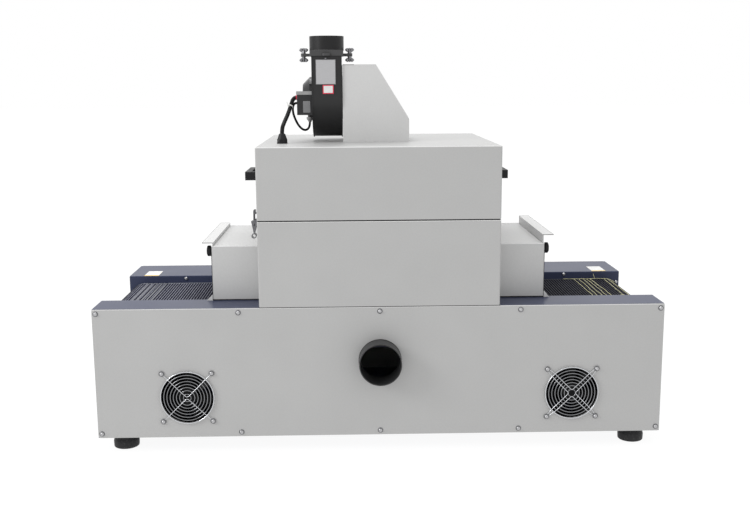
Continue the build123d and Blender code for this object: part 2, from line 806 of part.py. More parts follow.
keep(tunnel(-1), "left_tunnel")
keep(tunnel(1), "right_tunnel")


# Shutters: plates with an outward top flange, and a tongue with a lip close above the belt
knob_spots = {"rear": tunnel_rear + knob_inset, "front": tunnel_front - knob_inset}
shutter_x = tunnel_end + (guide_slot - shutter_sheet) / 2


def shutter(side, lift):
    z_top = tunnel_z + shutter_rise + lift
    z_wing = rail_z + shutter_wing_lift + lift
    z_lip = rail_z - shutter_lip_drop + lift
    y_low = tunnel_rear + sheet + shutter_side_gap
    y_high = tunnel_front - sheet - shutter_side_gap
    tongue_low = belt_rear + shutter_tongue_gap
    tongue_high = belt_front - shutter_tongue_gap
    stud_z = tunnel_z - knob_drop
    slot_top = stud_z + lift
    slot_width = 2 * (knob_stud_radius + 0.5)
    with BuildPart() as plate:
        with BuildSketch(side_plane(side * shutter_x)):
            with BuildLine():
                Polyline((tongue_low, z_lip), (tongue_high, z_lip), (tongue_high, z_wing),
                         (y_high, z_wing), (y_high, z_top), (y_low, z_top), (y_low, z_wing),
                         (tongue_low, z_wing), close=True)
            make_face()
            with Locations(*[(y, slot_top - shutter_travel / 2) for y in knob_spots.values()]):
                SlotCenterToCenter(shutter_travel, slot_width, rotation=90, mode=Mode.SUBTRACT)
        extrude(amount=side * shutter_sheet)
        for z_flange, reach, low, high in ((z_top - sheet, shutter_top_flange, y_low, y_high),
                                           (z_lip, shutter_lip, tongue_low, tongue_high)):
            with BuildSketch(Plane.XY.offset(z_flange)):
                with Locations((side * (shutter_x + reach / 2), (low + high) / 2)):
                    Rectangle(reach, high - low)
            extrude(amount=sheet)
    return plate


keep(shutter(-1, 0), "left_shutter")
keep(shutter(1, shutter_lift_right), "right_shutter")


# Star knobs: a stud through the slot and the rim, a boss against the plate and a lobed head
boss_x = shutter_x + shutter_sheet + seat_gap
for end_name, end_side in (("left", -1), ("right", 1)):
    for place, knob_y in knob_spots.items():
        with BuildPart() as knob:
            with BuildSketch(side_plane(end_side * boss_x)):
                with Locations((knob_y, tunnel_z - knob_drop)):
                    Circle(knob_boss_radius)
            extrude(amount=end_side * knob_boss_length)
            with BuildSketch(side_plane(end_side * (boss_x + knob_boss_length))):
                with Locations((knob_y, tunnel_z - knob_drop)):
                    Circle(knob_radius - knob_lobe_radius / 2)
                    with PolarLocations(knob_radius - knob_lobe_radius, knob_lobes):
                        Circle(knob_lobe_radius)
            extrude(amount=end_side * knob_length)
            with BuildSketch(side_plane(end_side * (tunnel_end - 3 * sheet))):
                with Locations((knob_y, tunnel_z - knob_drop)):
                    Circle(knob_stud_radius)
            extrude(amount=end_side * (boss_x + 1 - tunnel_end + 3 * sheet))
        keep(knob, f"{end_name}_{place}_knob")


# Hood over the lid's air hole, with one sloping side
with BuildPart() as hood:
    with BuildSketch(face_plane(mid_y + hood_depth / 2)):
        with BuildLine():
            Polyline((hood_left, roof_z), (hood_left, roof_z + hood_height),
                     (hood_top_right, roof_z + hood_height),
                     (hood_right - hood_shoulder_inset, roof_z + hood_shoulder),
                     (hood_right, roof_z + hood_shoulder - 2 * hood_shoulder_inset),
                     (hood_right, roof_z), close=True)
        make_face()
    extrude(amount=hood_depth)
    fillet(hood.edges().filter_by(Axis.Y).group_by(Axis.Z)[-1], hood_bend)
    # Hollow, open below over the lid's air hole, with a port in its left wall for the blower
    with BuildSketch(face_plane(mid_y + hood_depth / 2 - sheet)):
        with BuildLine():
            Polyline((hood_left + sheet, roof_z), (hood_left + sheet, roof_z + hood_height - sheet),
                     (hood_top_right - 2 * sheet / 3, roof_z + hood_height - sheet),
                     (hood_right - hood_shoulder_inset - 1.2 * sheet, roof_z + hood_shoulder - sheet / 3),
                     (hood_right - sheet, roof_z + hood_shoulder - 2 * hood_shoulder_inset),
                     (hood_right - sheet, roof_z), close=True)
        make_face()
    extrude(amount=hood_depth - 2 * sheet, mode=Mode.SUBTRACT)
    with BuildSketch(side_plane(hood_left)):
        with Locations((mid_y, roof_z + blower_axis_rise)):
            Circle(inlet_radius)
    extrude(amount=sheet, mode=Mode.SUBTRACT)
keep(hood, "hood")


# Blower housing: a volute of four tangent arcs that runs up into a square outlet
blower_right = hood_left - blower_gap
blower_left = blower_right - blower_width
axis_z = roof_z + blower_axis_rise
outlet_near = mid_y - blower_near_radius
outlet_far = outlet_near + outlet_depth
outlet_z = roof_z + outlet_rise


def volute(plane, grow, top):
    """The volute's outline up to a level, grown outwards by a small amount."""
    near = blower_near_radius + grow
    low = near - blower_radius_step
    far = low - blower_radius_step
    low_z = axis_z - blower_radius_step
    far_y = mid_y + blower_radius_step
    with BuildSketch(plane) as outline:
        with BuildLine():
            Line((mid_y - near, top), (mid_y - near, axis_z))
            RadiusArc((mid_y - near, axis_z), (mid_y, axis_z - near), -near)
            RadiusArc((mid_y, axis_z - near), (mid_y + low, low_z), -low)
            RadiusArc((mid_y + low, low_z), (far_y, low_z + far), -far)
            Line((far_y, low_z + far), (outlet_far + grow, low_z + far))
            Line((outlet_far + grow, low_z + far), (outlet_far + grow, top))
            Line((outlet_far + grow, top), (mid_y - near, top))
        make_face()
    return outline.sketch


with BuildPart() as blower_housing:
    extrude(volute(side_plane(blower_left), 0, outlet_z), amount=blower_width)
    for plate_x in (blower_left, blower_right - blower_side_plate):
        extrude(volute(side_plane(plate_x), blower_side_proud, outlet_z), amount=blower_side_plate)
    with BuildSketch(side_plane(blower_right)):
        with Locations((mid_y, axis_z)):
            Circle(motor_flange_radius)
    extrude(amount=blower_gap)
    # Hollow between the side plates, open at the outlet and at the inlet from the hood
    extrude(volute(side_plane(blower_left + blower_side_plate), -blower_side_plate, outlet_z + 1),
            amount=blower_width - 2 * blower_side_plate, mode=Mode.SUBTRACT)
    with BuildSketch(side_plane(blower_right - blower_side_plate)):
        with Locations((mid_y, axis_z)):
            Circle(inlet_radius)
    extrude(amount=blower_side_plate + blower_gap, mode=Mode.SUBTRACT)
keep(blower_housing, "blower_housing")


# Outlet adaptor: a deep flange with an ear on each side, and the duct collar
outlet_x = (blower_left + blower_right) / 2
outlet_y = (outlet_near + outlet_far) / 2
outlet_top = outlet_z + outlet_flange_height
flange_length = blower_width + 2 * outlet_flange_lap
flange_depth = outlet_depth + 2 * outlet_flange_lap
with BuildPart() as outlet_adaptor:
    with BuildSketch(Plane.XY.offset(outlet_z)):
        with Locations((outlet_x, outlet_y)):
            RectangleRounded(flange_length, flange_depth, outlet_flange_lap)
    extrude(amount=outlet_flange_height)
    with BuildSketch(Plane.XY.offset(outlet_z)):
        with Locations((outlet_x, outlet_y)):
            RectangleRounded(flange_length + 2 * ear_reach, ear_width, ear_corner)
            RectangleRounded(ear_width, flange_depth + ear_reach, ear_corner)
            with GridLocations(flange_length + 2 * (ear_reach - ear_hole_inset), 1, 2, 1):
                Circle(ear_hole_radius, mode=Mode.SUBTRACT)
    extrude(amount=ear_height)
    with BuildSketch(Plane.XY.offset(outlet_top)):
        with Locations((outlet_x, outlet_y)):
            Circle(collar_radius)
    extrude(amount=collar_height)
    with BuildSketch(Plane.XY.offset(outlet_top)):
        with Locations((outlet_x, outlet_y)):
            Circle(collar_radius + collar_seat_step)
    extrude(amount=collar_seat_step, taper=45)
    with BuildSketch(Plane.XY.offset(outlet_z)):
        with Locations((outlet_x, outlet_y)):
            Circle(outlet_bore_radius)
    with BuildSketch(Plane.XY.offset(outlet_top)):
        with Locations((outlet_x, outlet_y)):
            Circle(collar_radius - collar_wall)
    loft(mode=Mode.SUBTRACT)
    with BuildSketch(Plane.XY.offset(outlet_top)):
        with Locations((outlet_x, outlet_y)):
            Circle(collar_radius - collar_wall)
    extrude(amount=collar_height, mode=Mode.SUBTRACT)
keep(outlet_adaptor, "outlet_adaptor")


# Motor on the blower's left side plate: a flange and a chamfered cap
with BuildPart() as blower_motor:
    with BuildSketch(side_plane(blower_left)):
        with Locations((mid_y, axis_z)):
            Circle(motor_flange_radius)
    extrude(amount=-motor_flange_sheet)
    with BuildSketch(side_plane(blower_left - motor_flange_sheet)):
        with Locations((mid_y, axis_z)):
            Circle(motor_radius)
    extrude(amount=-(motor_reach - motor_flange_sheet))
    chamfer(blower_motor.faces().sort_by(Axis.X)[0].edges(), motor_chamfer)
    with BuildSketch(Plane.XY.offset(axis_z)):
        with Locations((blower_left - lead_boss_out, mid_y - lead_boss_front)):
            Circle(lead_boss_radius)
    extrude(amount=-(motor_radius + lead_boss_reach))
keep(blower_motor, "blower_motor")


# Terminal box beside the motor, on the same side plate
with BuildPart() as terminal_box:
    with BuildSketch(Plane.XY.offset(roof_z + terminal_rise)):
        with Locations((blower_left, mid_y - terminal_front)):
            RectangleRounded(2 * terminal_width, terminal_depth, 3)
            Rectangle(terminal_width, terminal_depth, align=(Align.MIN, Align.CENTER), mode=Mode.SUBTRACT)
    extrude(amount=terminal_height)
keep(terminal_box, "terminal_box")


# Cable gland on the lid's roof
gland_y = rear_y + gland_inset
with BuildPart() as cable_gland:
    with BuildSketch(Plane.XY.offset(roof_z)):
        with Locations((gland_x, gland_y)):
            Circle(gland_radius)
    extrude(amount=gland_flange_height)
    with BuildSketch(Plane.XY.offset(roof_z)):
        with Locations((gland_x, gland_y)):
            RegularPolygon(gland_radius - 0.5, 6)
    extrude(amount=gland_nut_height)
    with BuildSketch(Plane.XY.offset(roof_z + gland_nut_height)):
        with Locations((gland_x, gland_y)):
            Circle(gland_radius - 1)
    extrude(amount=gland_dome_height, taper=gland_dome_taper)
    fillet(cable_gland.faces().sort_by(Axis.Z)[-1].edges(), 1.5)
keep(cable_gland, "cable_gland")
gland_top = roof_z + gland_nut_height + gland_dome_height


def cable(name, radius, points):
    """A cable along straight runs joined by arcs as large as the runs allow."""
    route = [Vector(*point) for point in points]
    radii = []
    for before, here, after in zip(route, route[1:], route[2:]):
        turn = (here - before).get_angle(after - here)
        run = min((here - before).length, (after - here).length)
        radii.append(0.45 * run / tan(radians(turn / 2)))
    print(name, "radii", [round(value, 1) for value in radii])
    with BuildPart() as cord:
        with BuildLine() as path:
            FilletPolyline(*route, radius=radii)
        with BuildSketch(Plane(origin=path.line @ 0, z_dir=path.line % 0)):
            Circle(radius)
        sweep(path=path.line)
    length = path.wires()[0].length
    section = pi * radius ** 2
    print(name, "length", round(length, 1), "volume over section", round(cord.part.volume / section, 1))
    keep(cord, name)


# Sleeved cable from the terminal box down to the gland
box_face = blower_left - terminal_width
terminal_y = mid_y - terminal_front
sleeve_z = roof_z + terminal_rise + 38
cable("blower_cable", sleeve_radius,
      [(box_face, terminal_y, sleeve_z), (box_face - 8, terminal_y, sleeve_z),
       (box_face - 14, terminal_y - 9, sleeve_z - 19), (box_face - 20, terminal_y - 23, sleeve_z - 37),
       (gland_x + 4, gland_y + 13, gland_top + 23), (gland_x, gland_y, gland_top + 11),
       (gland_x, gland_y, gland_top)])

# Motor lead, a low loop from the boss under the motor back up into the terminal box
lead_z = roof_z + terminal_rise + 26
boss_low = axis_z - motor_radius - lead_boss_reach
boss_spot = (blower_left - lead_boss_out, mid_y - lead_boss_front)
cable("motor_lead", lead_radius,
      [(*boss_spot, boss_low), (*boss_spot, boss_low - 10),
       (blower_left - 12, mid_y - 19, boss_low - 20), (blower_left - 21, mid_y - 28, boss_low - 22),
       (blower_left - 31, mid_y - 38, boss_low - 13), (blower_left - 38, mid_y - 49, boss_low + 1),
       (blower_left - 43, mid_y - 59, boss_low + 17), (blower_left - 43, terminal_y, boss_low + 31),
       (box_face - 6, terminal_y, lead_z), (box_face, terminal_y, lead_z)])
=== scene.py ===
# %% [markdown]
# # UV curing tunnel
#
# This lesson dresses a bench-top UV curing tunnel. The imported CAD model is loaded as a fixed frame,
# and every step gives one part of the machine its finish or its fine detail. All lengths are in
# metres, +X runs along the belt and +Y from the fan side to the plain side. The names call the fan
# side the rear.

import math
import random

import bmesh
import bpy
from mathutils import Matrix, Vector


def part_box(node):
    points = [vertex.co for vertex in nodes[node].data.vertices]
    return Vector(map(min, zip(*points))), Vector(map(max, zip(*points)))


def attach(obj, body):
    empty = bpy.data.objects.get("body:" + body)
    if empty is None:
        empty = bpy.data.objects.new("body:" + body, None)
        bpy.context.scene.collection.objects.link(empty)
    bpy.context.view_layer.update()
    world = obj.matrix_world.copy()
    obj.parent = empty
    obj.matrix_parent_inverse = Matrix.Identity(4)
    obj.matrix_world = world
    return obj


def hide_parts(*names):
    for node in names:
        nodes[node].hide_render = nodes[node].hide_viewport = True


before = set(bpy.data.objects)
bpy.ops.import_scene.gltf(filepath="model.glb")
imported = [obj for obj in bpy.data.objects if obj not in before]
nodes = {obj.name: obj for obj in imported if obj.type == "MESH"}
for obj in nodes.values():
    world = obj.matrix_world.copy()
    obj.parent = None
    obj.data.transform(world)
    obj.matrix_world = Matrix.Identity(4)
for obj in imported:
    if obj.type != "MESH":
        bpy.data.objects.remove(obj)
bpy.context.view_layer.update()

# %% [markdown]
# ## Camera and cords
#
# The camera stands a little left of the machine's middle and looks down at ten degrees. Its place
# came from fitting the cabinet's corners, so its right and up axes are written as numbers. The
# blower's two cables are the only cords. Each is a smooth NURBS line, because a cable has no corners,
# and both ends go into the machine.


# %% Camera
def linked(name, data):
    """An object for some data, at the origin and in the scene."""
    piece = bpy.data.objects.new(name, data)
    bpy.context.collection.objects.link(piece)
    return piece


scene = bpy.context.scene
camera_right = Vector((0.99970, -0.02383, -0.00596))
camera_up = Vector((0.01012, 0.17890, 0.98382))
camera_back = camera_right.cross(camera_up).normalized()
camera = linked("camera", bpy.data.cameras.new("camera"))
turn = Matrix((camera_right, camera_up, camera_back)).transposed().to_4x4()
camera.matrix_world = Matrix.Translation((-0.05503, -2.22876, 0.77401)) @ turn
camera.data.sensor_fit = "HORIZONTAL"
camera.data.sensor_width = 36
camera.data.lens = 47.06
scene.camera = camera


# %% Tubes along smooth lines
def tube(name, runs, radius, facets=4, steps=8, closed=False):
    """Round tubes whose NURBS control points are the points of each run."""
    curve = bpy.data.curves.new(name, "CURVE")
    curve.dimensions = "3D"
    curve.bevel_depth = radius
    curve.bevel_resolution = facets
    curve.resolution_u = steps
    curve.use_fill_caps = True
    for run in runs:
        spline = curve.splines.new("NURBS")
        spline.points.add(len(run) - 1)
        for spot, place in zip(spline.points, run):
            spot.co = (*place, 1)
        spline.order_u = 3
        spline.use_endpoint_u = not closed
        spline.use_cyclic_u = closed
    return linked(name, curve)


sleeve_radius = 0.0045
lead_radius = 0.0025
sleeve_route = [(-0.174, -0.047, 0.744), (-0.182, -0.047, 0.744), (-0.188, -0.056, 0.725),
                (-0.194, -0.070, 0.707), (-0.201, -0.0855, 0.691), (-0.205, -0.0985, 0.679),
                (-0.205, -0.0985, 0.668)]
lead_route = [(-0.149, 0.008, 0.6925), (-0.149, 0.008, 0.6825), (-0.153, 0.001, 0.6725),
              (-0.162, -0.008, 0.6705), (-0.172, -0.018, 0.6795), (-0.179, -0.029, 0.6935),
              (-0.184, -0.039, 0.7095), (-0.184, -0.047, 0.7235), (-0.180, -0.047, 0.732),
              (-0.174, -0.047, 0.732)]
sleeve = tube("blower_sleeve", [sleeve_route], sleeve_radius)
lead = tube("motor_lead_wire", [lead_route], lead_radius)

# %% [markdown]
# ## Shader and node helpers
#
# A material is easier to read as arithmetic. One small class wraps a socket, so that adding or
# multiplying two of them adds a Math node. Another class holds a node tree and makes every other
# node through one method.


# %% Sockets that do arithmetic
class Value:
    """A socket in a tree, with the usual signs of arithmetic."""

    def __init__(self, tree, socket):
        self.tree = tree
        self.socket = socket

    def math(self, operation, other):
        return self.tree.node("ShaderNodeMath", {"operation": operation}, {0: self, 1: other})

    def __add__(self, other):
        return self.math("ADD", other)

    def __sub__(self, other):
        return self.math("SUBTRACT", other)

    def __mul__(self, other):
        return self.math("MULTIPLY", other)

    def above(self, other):
        return self.math("GREATER_THAN", other)

    def below(self, other):
        return self.math("LESS_THAN", other)

    def clamped(self):
        return self.tree.node("ShaderNodeClamp", {}, {0: self})


# %% Trees that make nodes
class Tree:
    """A node tree whose nodes are made by one call each."""

    def __init__(self, tree):
        self.tree = tree

    def node(self, kind, settings=None, inputs=None, output=0):
        made = self.tree.nodes.new(kind)
        for key, value in (settings or {}).items():
            setattr(made, key, value)
        self.feed(made, inputs or {})
        self.last = made
        return Value(self, made.outputs[output])

    def feed(self, made, inputs):
        for key, value in inputs.items():
            if isinstance(value, Value):
                self.tree.links.new(value.socket, made.inputs[key])
            else:
                made.inputs[key].default_value = value


def tint(colour, share=1.0):
    """An opaque colour, made darker or lighter by a share."""
    return (*(min(1.0, part * share) for part in colour), 1)


class Finish(Tree):
    """A material with one Principled BSDF."""

    def __init__(self, name, colour, roughness, metallic=0.0, gloss=0.5, **sockets):
        self.material = bpy.data.materials.new(name)
        self.material.use_nodes = True
        super().__init__(self.material.node_tree)
        self.surface = self.tree.nodes["Principled BSDF"]
        self.set(**{"Base Color": tint(colour), "Roughness": roughness, "Metallic": metallic,
                    "Specular IOR Level": gloss}, **sockets)

    def set(self, **sockets):
        self.feed(self.surface, sockets)

    def place(self):
        return self.node("ShaderNodeTexCoord", output="Object")

    def axes(self, vector):
        self.node("ShaderNodeSeparateXYZ", {}, {0: vector})
        return [Value(self, self.last.outputs[index]) for index in range(3)]

    def noise(self, vector, scale, detail=2.0, rough=0.5):
        return self.node("ShaderNodeTexNoise", {},
                         {"Vector": vector, "Scale": scale, "Detail": detail, "Roughness": rough})

    def mix(self, factor, first, second, blend="MIX"):
        made = self.tree.nodes.new("ShaderNodeMix")
        made.data_type = "RGBA"
        made.blend_type = blend
        self.feed(made, {0: factor, 6: first, 7: second})
        return Value(self, made.outputs[2])

    def bump(self, height, strength, distance):
        return self.node("ShaderNodeBump", {}, {"Strength": strength, "Distance": distance,
                                                "Height": height})


# %% [markdown]
# ## Powder coat
#
# The panels are sheet steel with a fine textured powder coat. Up close it is an orange peel of about
# a millimetre with a much finer grain on it, and its tone drifts a little over a wide panel. Two
# noises give the bump, a third gives small specks, and a slow one shifts the colour and the gloss.


# %% Powder coat
def powder_coat(name, colour, roughness, peel=0.00006, strength=0.35, gloss=0.5):
    coat = Finish(name, colour, roughness, gloss=gloss)
    place = coat.place()
    slow = coat.noise(place, 9.0, 3.0)
    peel_height = coat.noise(place, 750.0, 2.0)
    grain = coat.noise(place, 2600.0, 2.0)
    height = peel_height * 0.7 + grain * 0.3
    tone = coat.mix(slow, tint(colour, 0.955), tint(colour, 1.045))
    speck = coat.mix(coat.noise(place, 300.0, 3.0), tint((1, 1, 1), 0.90), tint((1, 1, 1)))
    coat.set(**{"Base Color": coat.mix(1.0, tone, speck, "MULTIPLY"),
                "Roughness": (slow * 0.10 + (roughness - 0.05)).clamped(),
                "Normal": coat.bump(height, strength, peel)})
    return coat.material


panel_paint = powder_coat("panel_powder_coat", (0.410, 0.410, 0.407), 0.42)
# The hood, the tunnels and the shutters wear the same grey powder coat as the panels. Their copies are
# painted lighter: painted light, standing in for the extra light these parts catch.
hood_coat_painted_light = powder_coat("hood_powder_coat", (0.56, 0.56, 0.557), 0.45)
tunnel_coat_painted_light = powder_coat("tunnel_powder_coat", (0.51, 0.51, 0.507), 0.42)
shutter_coat_painted_light = powder_coat("shutter_powder_coat", (0.60, 0.60, 0.597), 0.42)
cut_edge_paint = powder_coat("cut_edge_coat", (0.20, 0.20, 0.20), 0.5)
# A pale coat for the strips on the folded edges: a painted highlight, standing in for the bright line
# the bends catch from above.
edge_paint = powder_coat("folded_edge_coat", (0.78, 0.78, 0.775), 0.38)
rail_paint = powder_coat("rail_powder_coat", (0.041, 0.049, 0.092), 0.30, strength=0.25, gloss=0.14)

# %% [markdown]
# ## Plastics, rubber and metals
#
# Moulded plastic has a soft grain, and rubber is rougher and a little dusty. Brushed metal has fine
# lines along one direction, made by stretching a noise with a Mapping node. Plated screws and the
# guards' chrome take a noise stretched alike on every axis, which leaves no lines.


# %% Plastic and rubber
def moulded(name, colour, roughness, grain=900.0, strength=0.25, dust=0.0, gloss=0.3):
    plastic = Finish(name, colour, roughness, gloss=gloss)
    place = plastic.place()
    fine = plastic.noise(place, grain, 2.0)
    slow = plastic.noise(place, 45.0, 4.0)
    worn = plastic.mix(slow, tint(colour, 0.8), tint(colour, 1.25))
    if dust:
        specks = (plastic.noise(place, 300.0, 5.0) - 0.55).clamped() * dust
        worn = plastic.mix(specks.clamped(), worn, (0.35, 0.34, 0.32, 1))
    plastic.set(**{"Base Color": worn, "Roughness": (slow * 0.16 + (roughness - 0.08)).clamped(),
                   "Normal": plastic.bump(fine, strength, 0.00005)})
    return plastic.material


# %% Metals
def brushed(name, colour, roughness, stretch=(1.0, 40.0, 40.0), strength=0.15):
    metal = Finish(name, colour, roughness, 1.0)
    place = metal.place()
    stretched = metal.node("ShaderNodeMapping", {}, {"Vector": place, "Scale": stretch})
    lines = metal.noise(stretched, 60.0, 3.0, 0.6)
    slow = metal.noise(place, 30.0, 3.0)
    metal.set(**{"Base Color": metal.mix(lines, tint(colour, 0.82), tint(colour, 1.1)),
                 "Roughness": (lines * 0.14 + slow * 0.12 + (roughness - 0.13)).clamped(),
                 "Normal": metal.bump(lines, strength, 0.00003)})
    return metal.material


blower_paint = moulded("blower_black_paint", (0.010, 0.010, 0.0105), 0.36, 1300.0, 0.35, gloss=0.4)
fan_plastic = moulded("fan_black_plastic", (0.006, 0.006, 0.0065), 0.42, gloss=0.15)
duct_plastic = moulded("duct_black_plastic", (0.032, 0.032, 0.033), 0.34, 500.0, 0.12, gloss=0.2)
handle_plastic = moulded("handle_black_plastic", (0.011, 0.011, 0.012), 0.45, gloss=0.2)
knob_plastic = moulded("knob_black_plastic", (0.006, 0.006, 0.007), 0.25, 400.0, 0.1, gloss=0.2)
box_plastic = moulded("terminal_box_plastic", (0.018, 0.018, 0.019), 0.45)
cover_plastic = moulded("terminal_cover_plastic", (0.27, 0.27, 0.27), 0.40)
label_grey = moulded("terminal_label_film", (0.17, 0.17, 0.175), 0.40)
label_white, label_yellow, label_red = (
    moulded(f"label_{tone}_film", colour, 0.35, 400.0, 0.05)
    for tone, colour in (("white", (0.66, 0.66, 0.65)), ("yellow", (0.78, 0.52, 0.03)),
                         ("red", (0.62, 0.03, 0.07))))
tie_nylon = moulded("tie_white_nylon", (0.62, 0.62, 0.60), 0.40)
gland_plastic = moulded("gland_black_nylon", (0.011, 0.011, 0.012), 0.40, gloss=0.25)
foot_rubber = moulded("foot_rubber", (0.013, 0.013, 0.014), 0.55, 600.0, 0.4, 0.5)
# This dark foam serves the lid's real gasket. It also serves the strips of painted shadow at the feet
# of the lamp box and the tunnels.
gasket_and_shadow_foam = moulded("gasket_foam_rubber", (0.022, 0.022, 0.023), 0.85, 1500.0, 0.8)
cable_sheath = moulded("cable_sheath", (0.005, 0.005, 0.0055), 0.40, 1200.0, 0.3, gloss=0.18)
latch_steel = brushed("latch_zinc_steel", (0.17, 0.17, 0.18), 0.32)
screw_steel = brushed("screw_nickel_steel", (0.47, 0.47, 0.48), 0.15, (30.0, 30.0, 30.0))
wing_steel = brushed("wing_nut_zinc", (0.22, 0.22, 0.23), 0.16, (30.0, 30.0, 30.0))
plate_metal = brushed("rating_plate_metal", (0.47, 0.47, 0.48), 0.40)
roller_steel = brushed("roller_turned_steel", (0.50, 0.50, 0.52), 0.34, (40.0, 1.0, 40.0))
motor_metal = moulded("motor_black_enamel", (0.010, 0.010, 0.011), 0.20, 500.0, 0.1, gloss=0.45)
reflector_metal = brushed("reflector_polished_aluminium", (0.86, 0.87, 0.89), 0.16, (40.0, 1.0, 40.0))
chrome = brushed("guard_chrome", (0.62, 0.63, 0.65), 0.15, (25.0, 25.0, 25.0), 0.06)
# The guards' rings are the same plated wire as their bars. Their copy of the chrome is painted darker,
# a painted shade that dims them against the bars.
ring_painted_shade_chrome = brushed("guard_ring_chrome", (0.28, 0.285, 0.295), 0.14, (25.0, 25.0, 25.0), 0.06)


# %% [markdown]
# The lamps are one node, with a clear tube between two ceramic ends. The ends are told apart by
# their place along Y, so one material holds both: white porcelain outside the reflector, and milky
# quartz with a darker electrode inside it.

# %% Lamps
lamp_low, lamp_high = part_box("uv_lamps")
lamp_middle = (lamp_low.y + lamp_high.y) / 2
cap_start = (lamp_high.y - lamp_low.y) / 2 - 0.040
lamp = Finish("lamp_quartz_and_ceramic", (0.55, 0.60, 0.66), 0.08, IOR=1.46)
lamp_y = lamp.axes(lamp.place())[1]
along_lamp = (lamp_y - lamp_middle).math("ABSOLUTE", 0.0)
is_cap = along_lamp.above(cap_start)
is_electrode = along_lamp.above(cap_start - 0.018)
quartz = lamp.mix(is_electrode, (0.56, 0.62, 0.70, 1), (0.10, 0.10, 0.11, 1))
fired = lamp.noise(lamp.place(), 240.0, 3.0)
ceramic = lamp.mix(fired, (0.70, 0.68, 0.63, 1), (0.80, 0.78, 0.74, 1))
lamp.set(**{"Base Color": lamp.mix(is_cap, quartz, ceramic),
            "Roughness": is_cap * 0.42 + 0.08,
            "Normal": lamp.bump(fired, 0.1, 0.00004)})

# %% [markdown]
# The outlet is one casting, and its square flange is paler than the collar above it. A mask on Z tells
# the two apart.

# %% Outlet
flange_low = 0.8325
flange_high = 0.8455
outlet_black = (0.008, 0.008, 0.0085)
outlet = Finish("outlet_black_paint", outlet_black, 0.42, gloss=0.28)
outlet_place = outlet.place()
outlet_z = outlet.axes(outlet_place)[2]
outlet_grain = outlet.noise(outlet_place, 1300.0, 2.0)
on_flange = outlet_z.above(flange_low) * outlet_z.below(flange_high)
paler_flange = outlet.mix(outlet_grain, (0.042, 0.042, 0.043, 1), (0.062, 0.062, 0.063, 1))
outlet.set(**{"Base Color": outlet.mix(on_flange, tint(outlet_black), paler_flange),
              "Normal": outlet.bump(outlet_grain, 0.35, 0.00005)})

# %% Finishes of the CAD nodes
finish_of = {
    panel_paint: "rear_panel front_panel lamp_box lid",
    tunnel_coat_painted_light: "left_tunnel right_tunnel",
    shutter_coat_painted_light: "left_shutter right_shutter",
    hood_coat_painted_light: "hood",
    rail_paint: "cabinet_floor left_end_plate right_end_plate rear_rail front_rail belt_bed",
    roller_steel: "left_roller right_roller",
    foot_rubber: "feet",
    fan_plastic: "left_fan_frame right_fan_frame left_fan_rotor right_fan_rotor",
    chrome: "left_fan_guard right_fan_guard",
    duct_plastic: "duct_spigot",
    gasket_and_shadow_foam: "lid_gasket",
    latch_steel: "box_hinges lid_hinges latch_bases latch_keepers rear_latch_lever "
                 "front_latch_lever rear_latch_bail front_latch_bail",
    handle_plastic: "lid_handles",
    knob_plastic: "left_rear_knob left_front_knob right_rear_knob right_front_knob",
    reflector_metal: "reflectors",
    blower_paint: "blower_housing",
    outlet.material: "outlet_adaptor",
    motor_metal: "blower_motor",
    box_plastic: "terminal_box",
    gland_plastic: "cable_gland",
    lamp.material: "uv_lamps",
}
for finish, names in finish_of.items():
    for name in names.split():
        nodes[name].data.materials[0] = finish
print("finishes of the nodes", len(finish_of))


# %% [markdown]
# ## Geometry Nodes helpers
#
# What repeats, such as a screw or a thread of the belt, is made once and placed by a node tree. The
# tree gets named inputs, ends in Realize Instances and Set Material, and its result becomes a plain
# mesh.


# %% A tree with named inputs
class Pattern(Tree):
    """A Geometry Nodes tree that works on the object's own mesh."""

    kinds = {float: "NodeSocketFloat", int: "NodeSocketInt", tuple: "NodeSocketVector",
             bpy.types.Object: "NodeSocketObject", bpy.types.Material: "NodeSocketMaterial"}

    def __init__(self, name, **inputs):
        super().__init__(bpy.data.node_groups.new(name, "GeometryNodeTree"))
        face = self.tree.interface
        face.new_socket("Geometry", in_out="INPUT", socket_type="NodeSocketGeometry")
        face.new_socket("Geometry", in_out="OUTPUT", socket_type="NodeSocketGeometry")
        for key, value in inputs.items():
            face.new_socket(key, in_out="INPUT", socket_type=self.kinds[type(value)])
        self.start = self.tree.nodes.new("NodeGroupInput")
        self.inputs = inputs
        self.own_mesh = Value(self, self.start.outputs[0])

    def input(self, name):
        return Value(self, self.start.outputs[name])

    def geo(self, kind, inputs, **settings):
        return self.node(f"GeometryNode{kind}", settings, inputs)

    def finish(self, geometry):
        solid = self.geo("RealizeInstances", {0: geometry})
        painted = self.geo("SetMaterial", {0: solid, 2: self.input("Material")})
        end = self.tree.nodes.new("NodeGroupOutput")
        self.tree.links.new(painted.socket, end.inputs[0])

    def apply(self, piece):
        """Runs the tree on a piece and keeps the result as the piece's own mesh."""
        modifier = piece.modifiers.new("pattern", "NODES")
        modifier.node_group = self.tree
        for item in self.tree.interface.items_tree:
            if item.in_out == "INPUT" and item.name in self.inputs:
                modifier[item.identifier] = self.inputs[item.name]
        view = bpy.context.evaluated_depsgraph_get()
        made = bpy.data.meshes.new_from_object(piece.evaluated_get(view))
        piece.modifiers.remove(modifier)
        piece.data = made
        made.name = piece.name
        print(piece.name, "faces", len(made.polygons))
        return piece


def mesh_piece(name, mesh):
    """An object at the origin for a mesh or a bmesh."""
    if isinstance(mesh, bmesh.types.BMesh):
        data = bpy.data.meshes.new(name)
        mesh.to_mesh(data)
        mesh.free()
        mesh = data
    return linked(name, mesh)


def smooth(piece):
    """Shades every face of a piece smoothly."""
    piece.data.polygons.foreach_set("use_smooth", [True] * len(piece.data.polygons))
    return piece


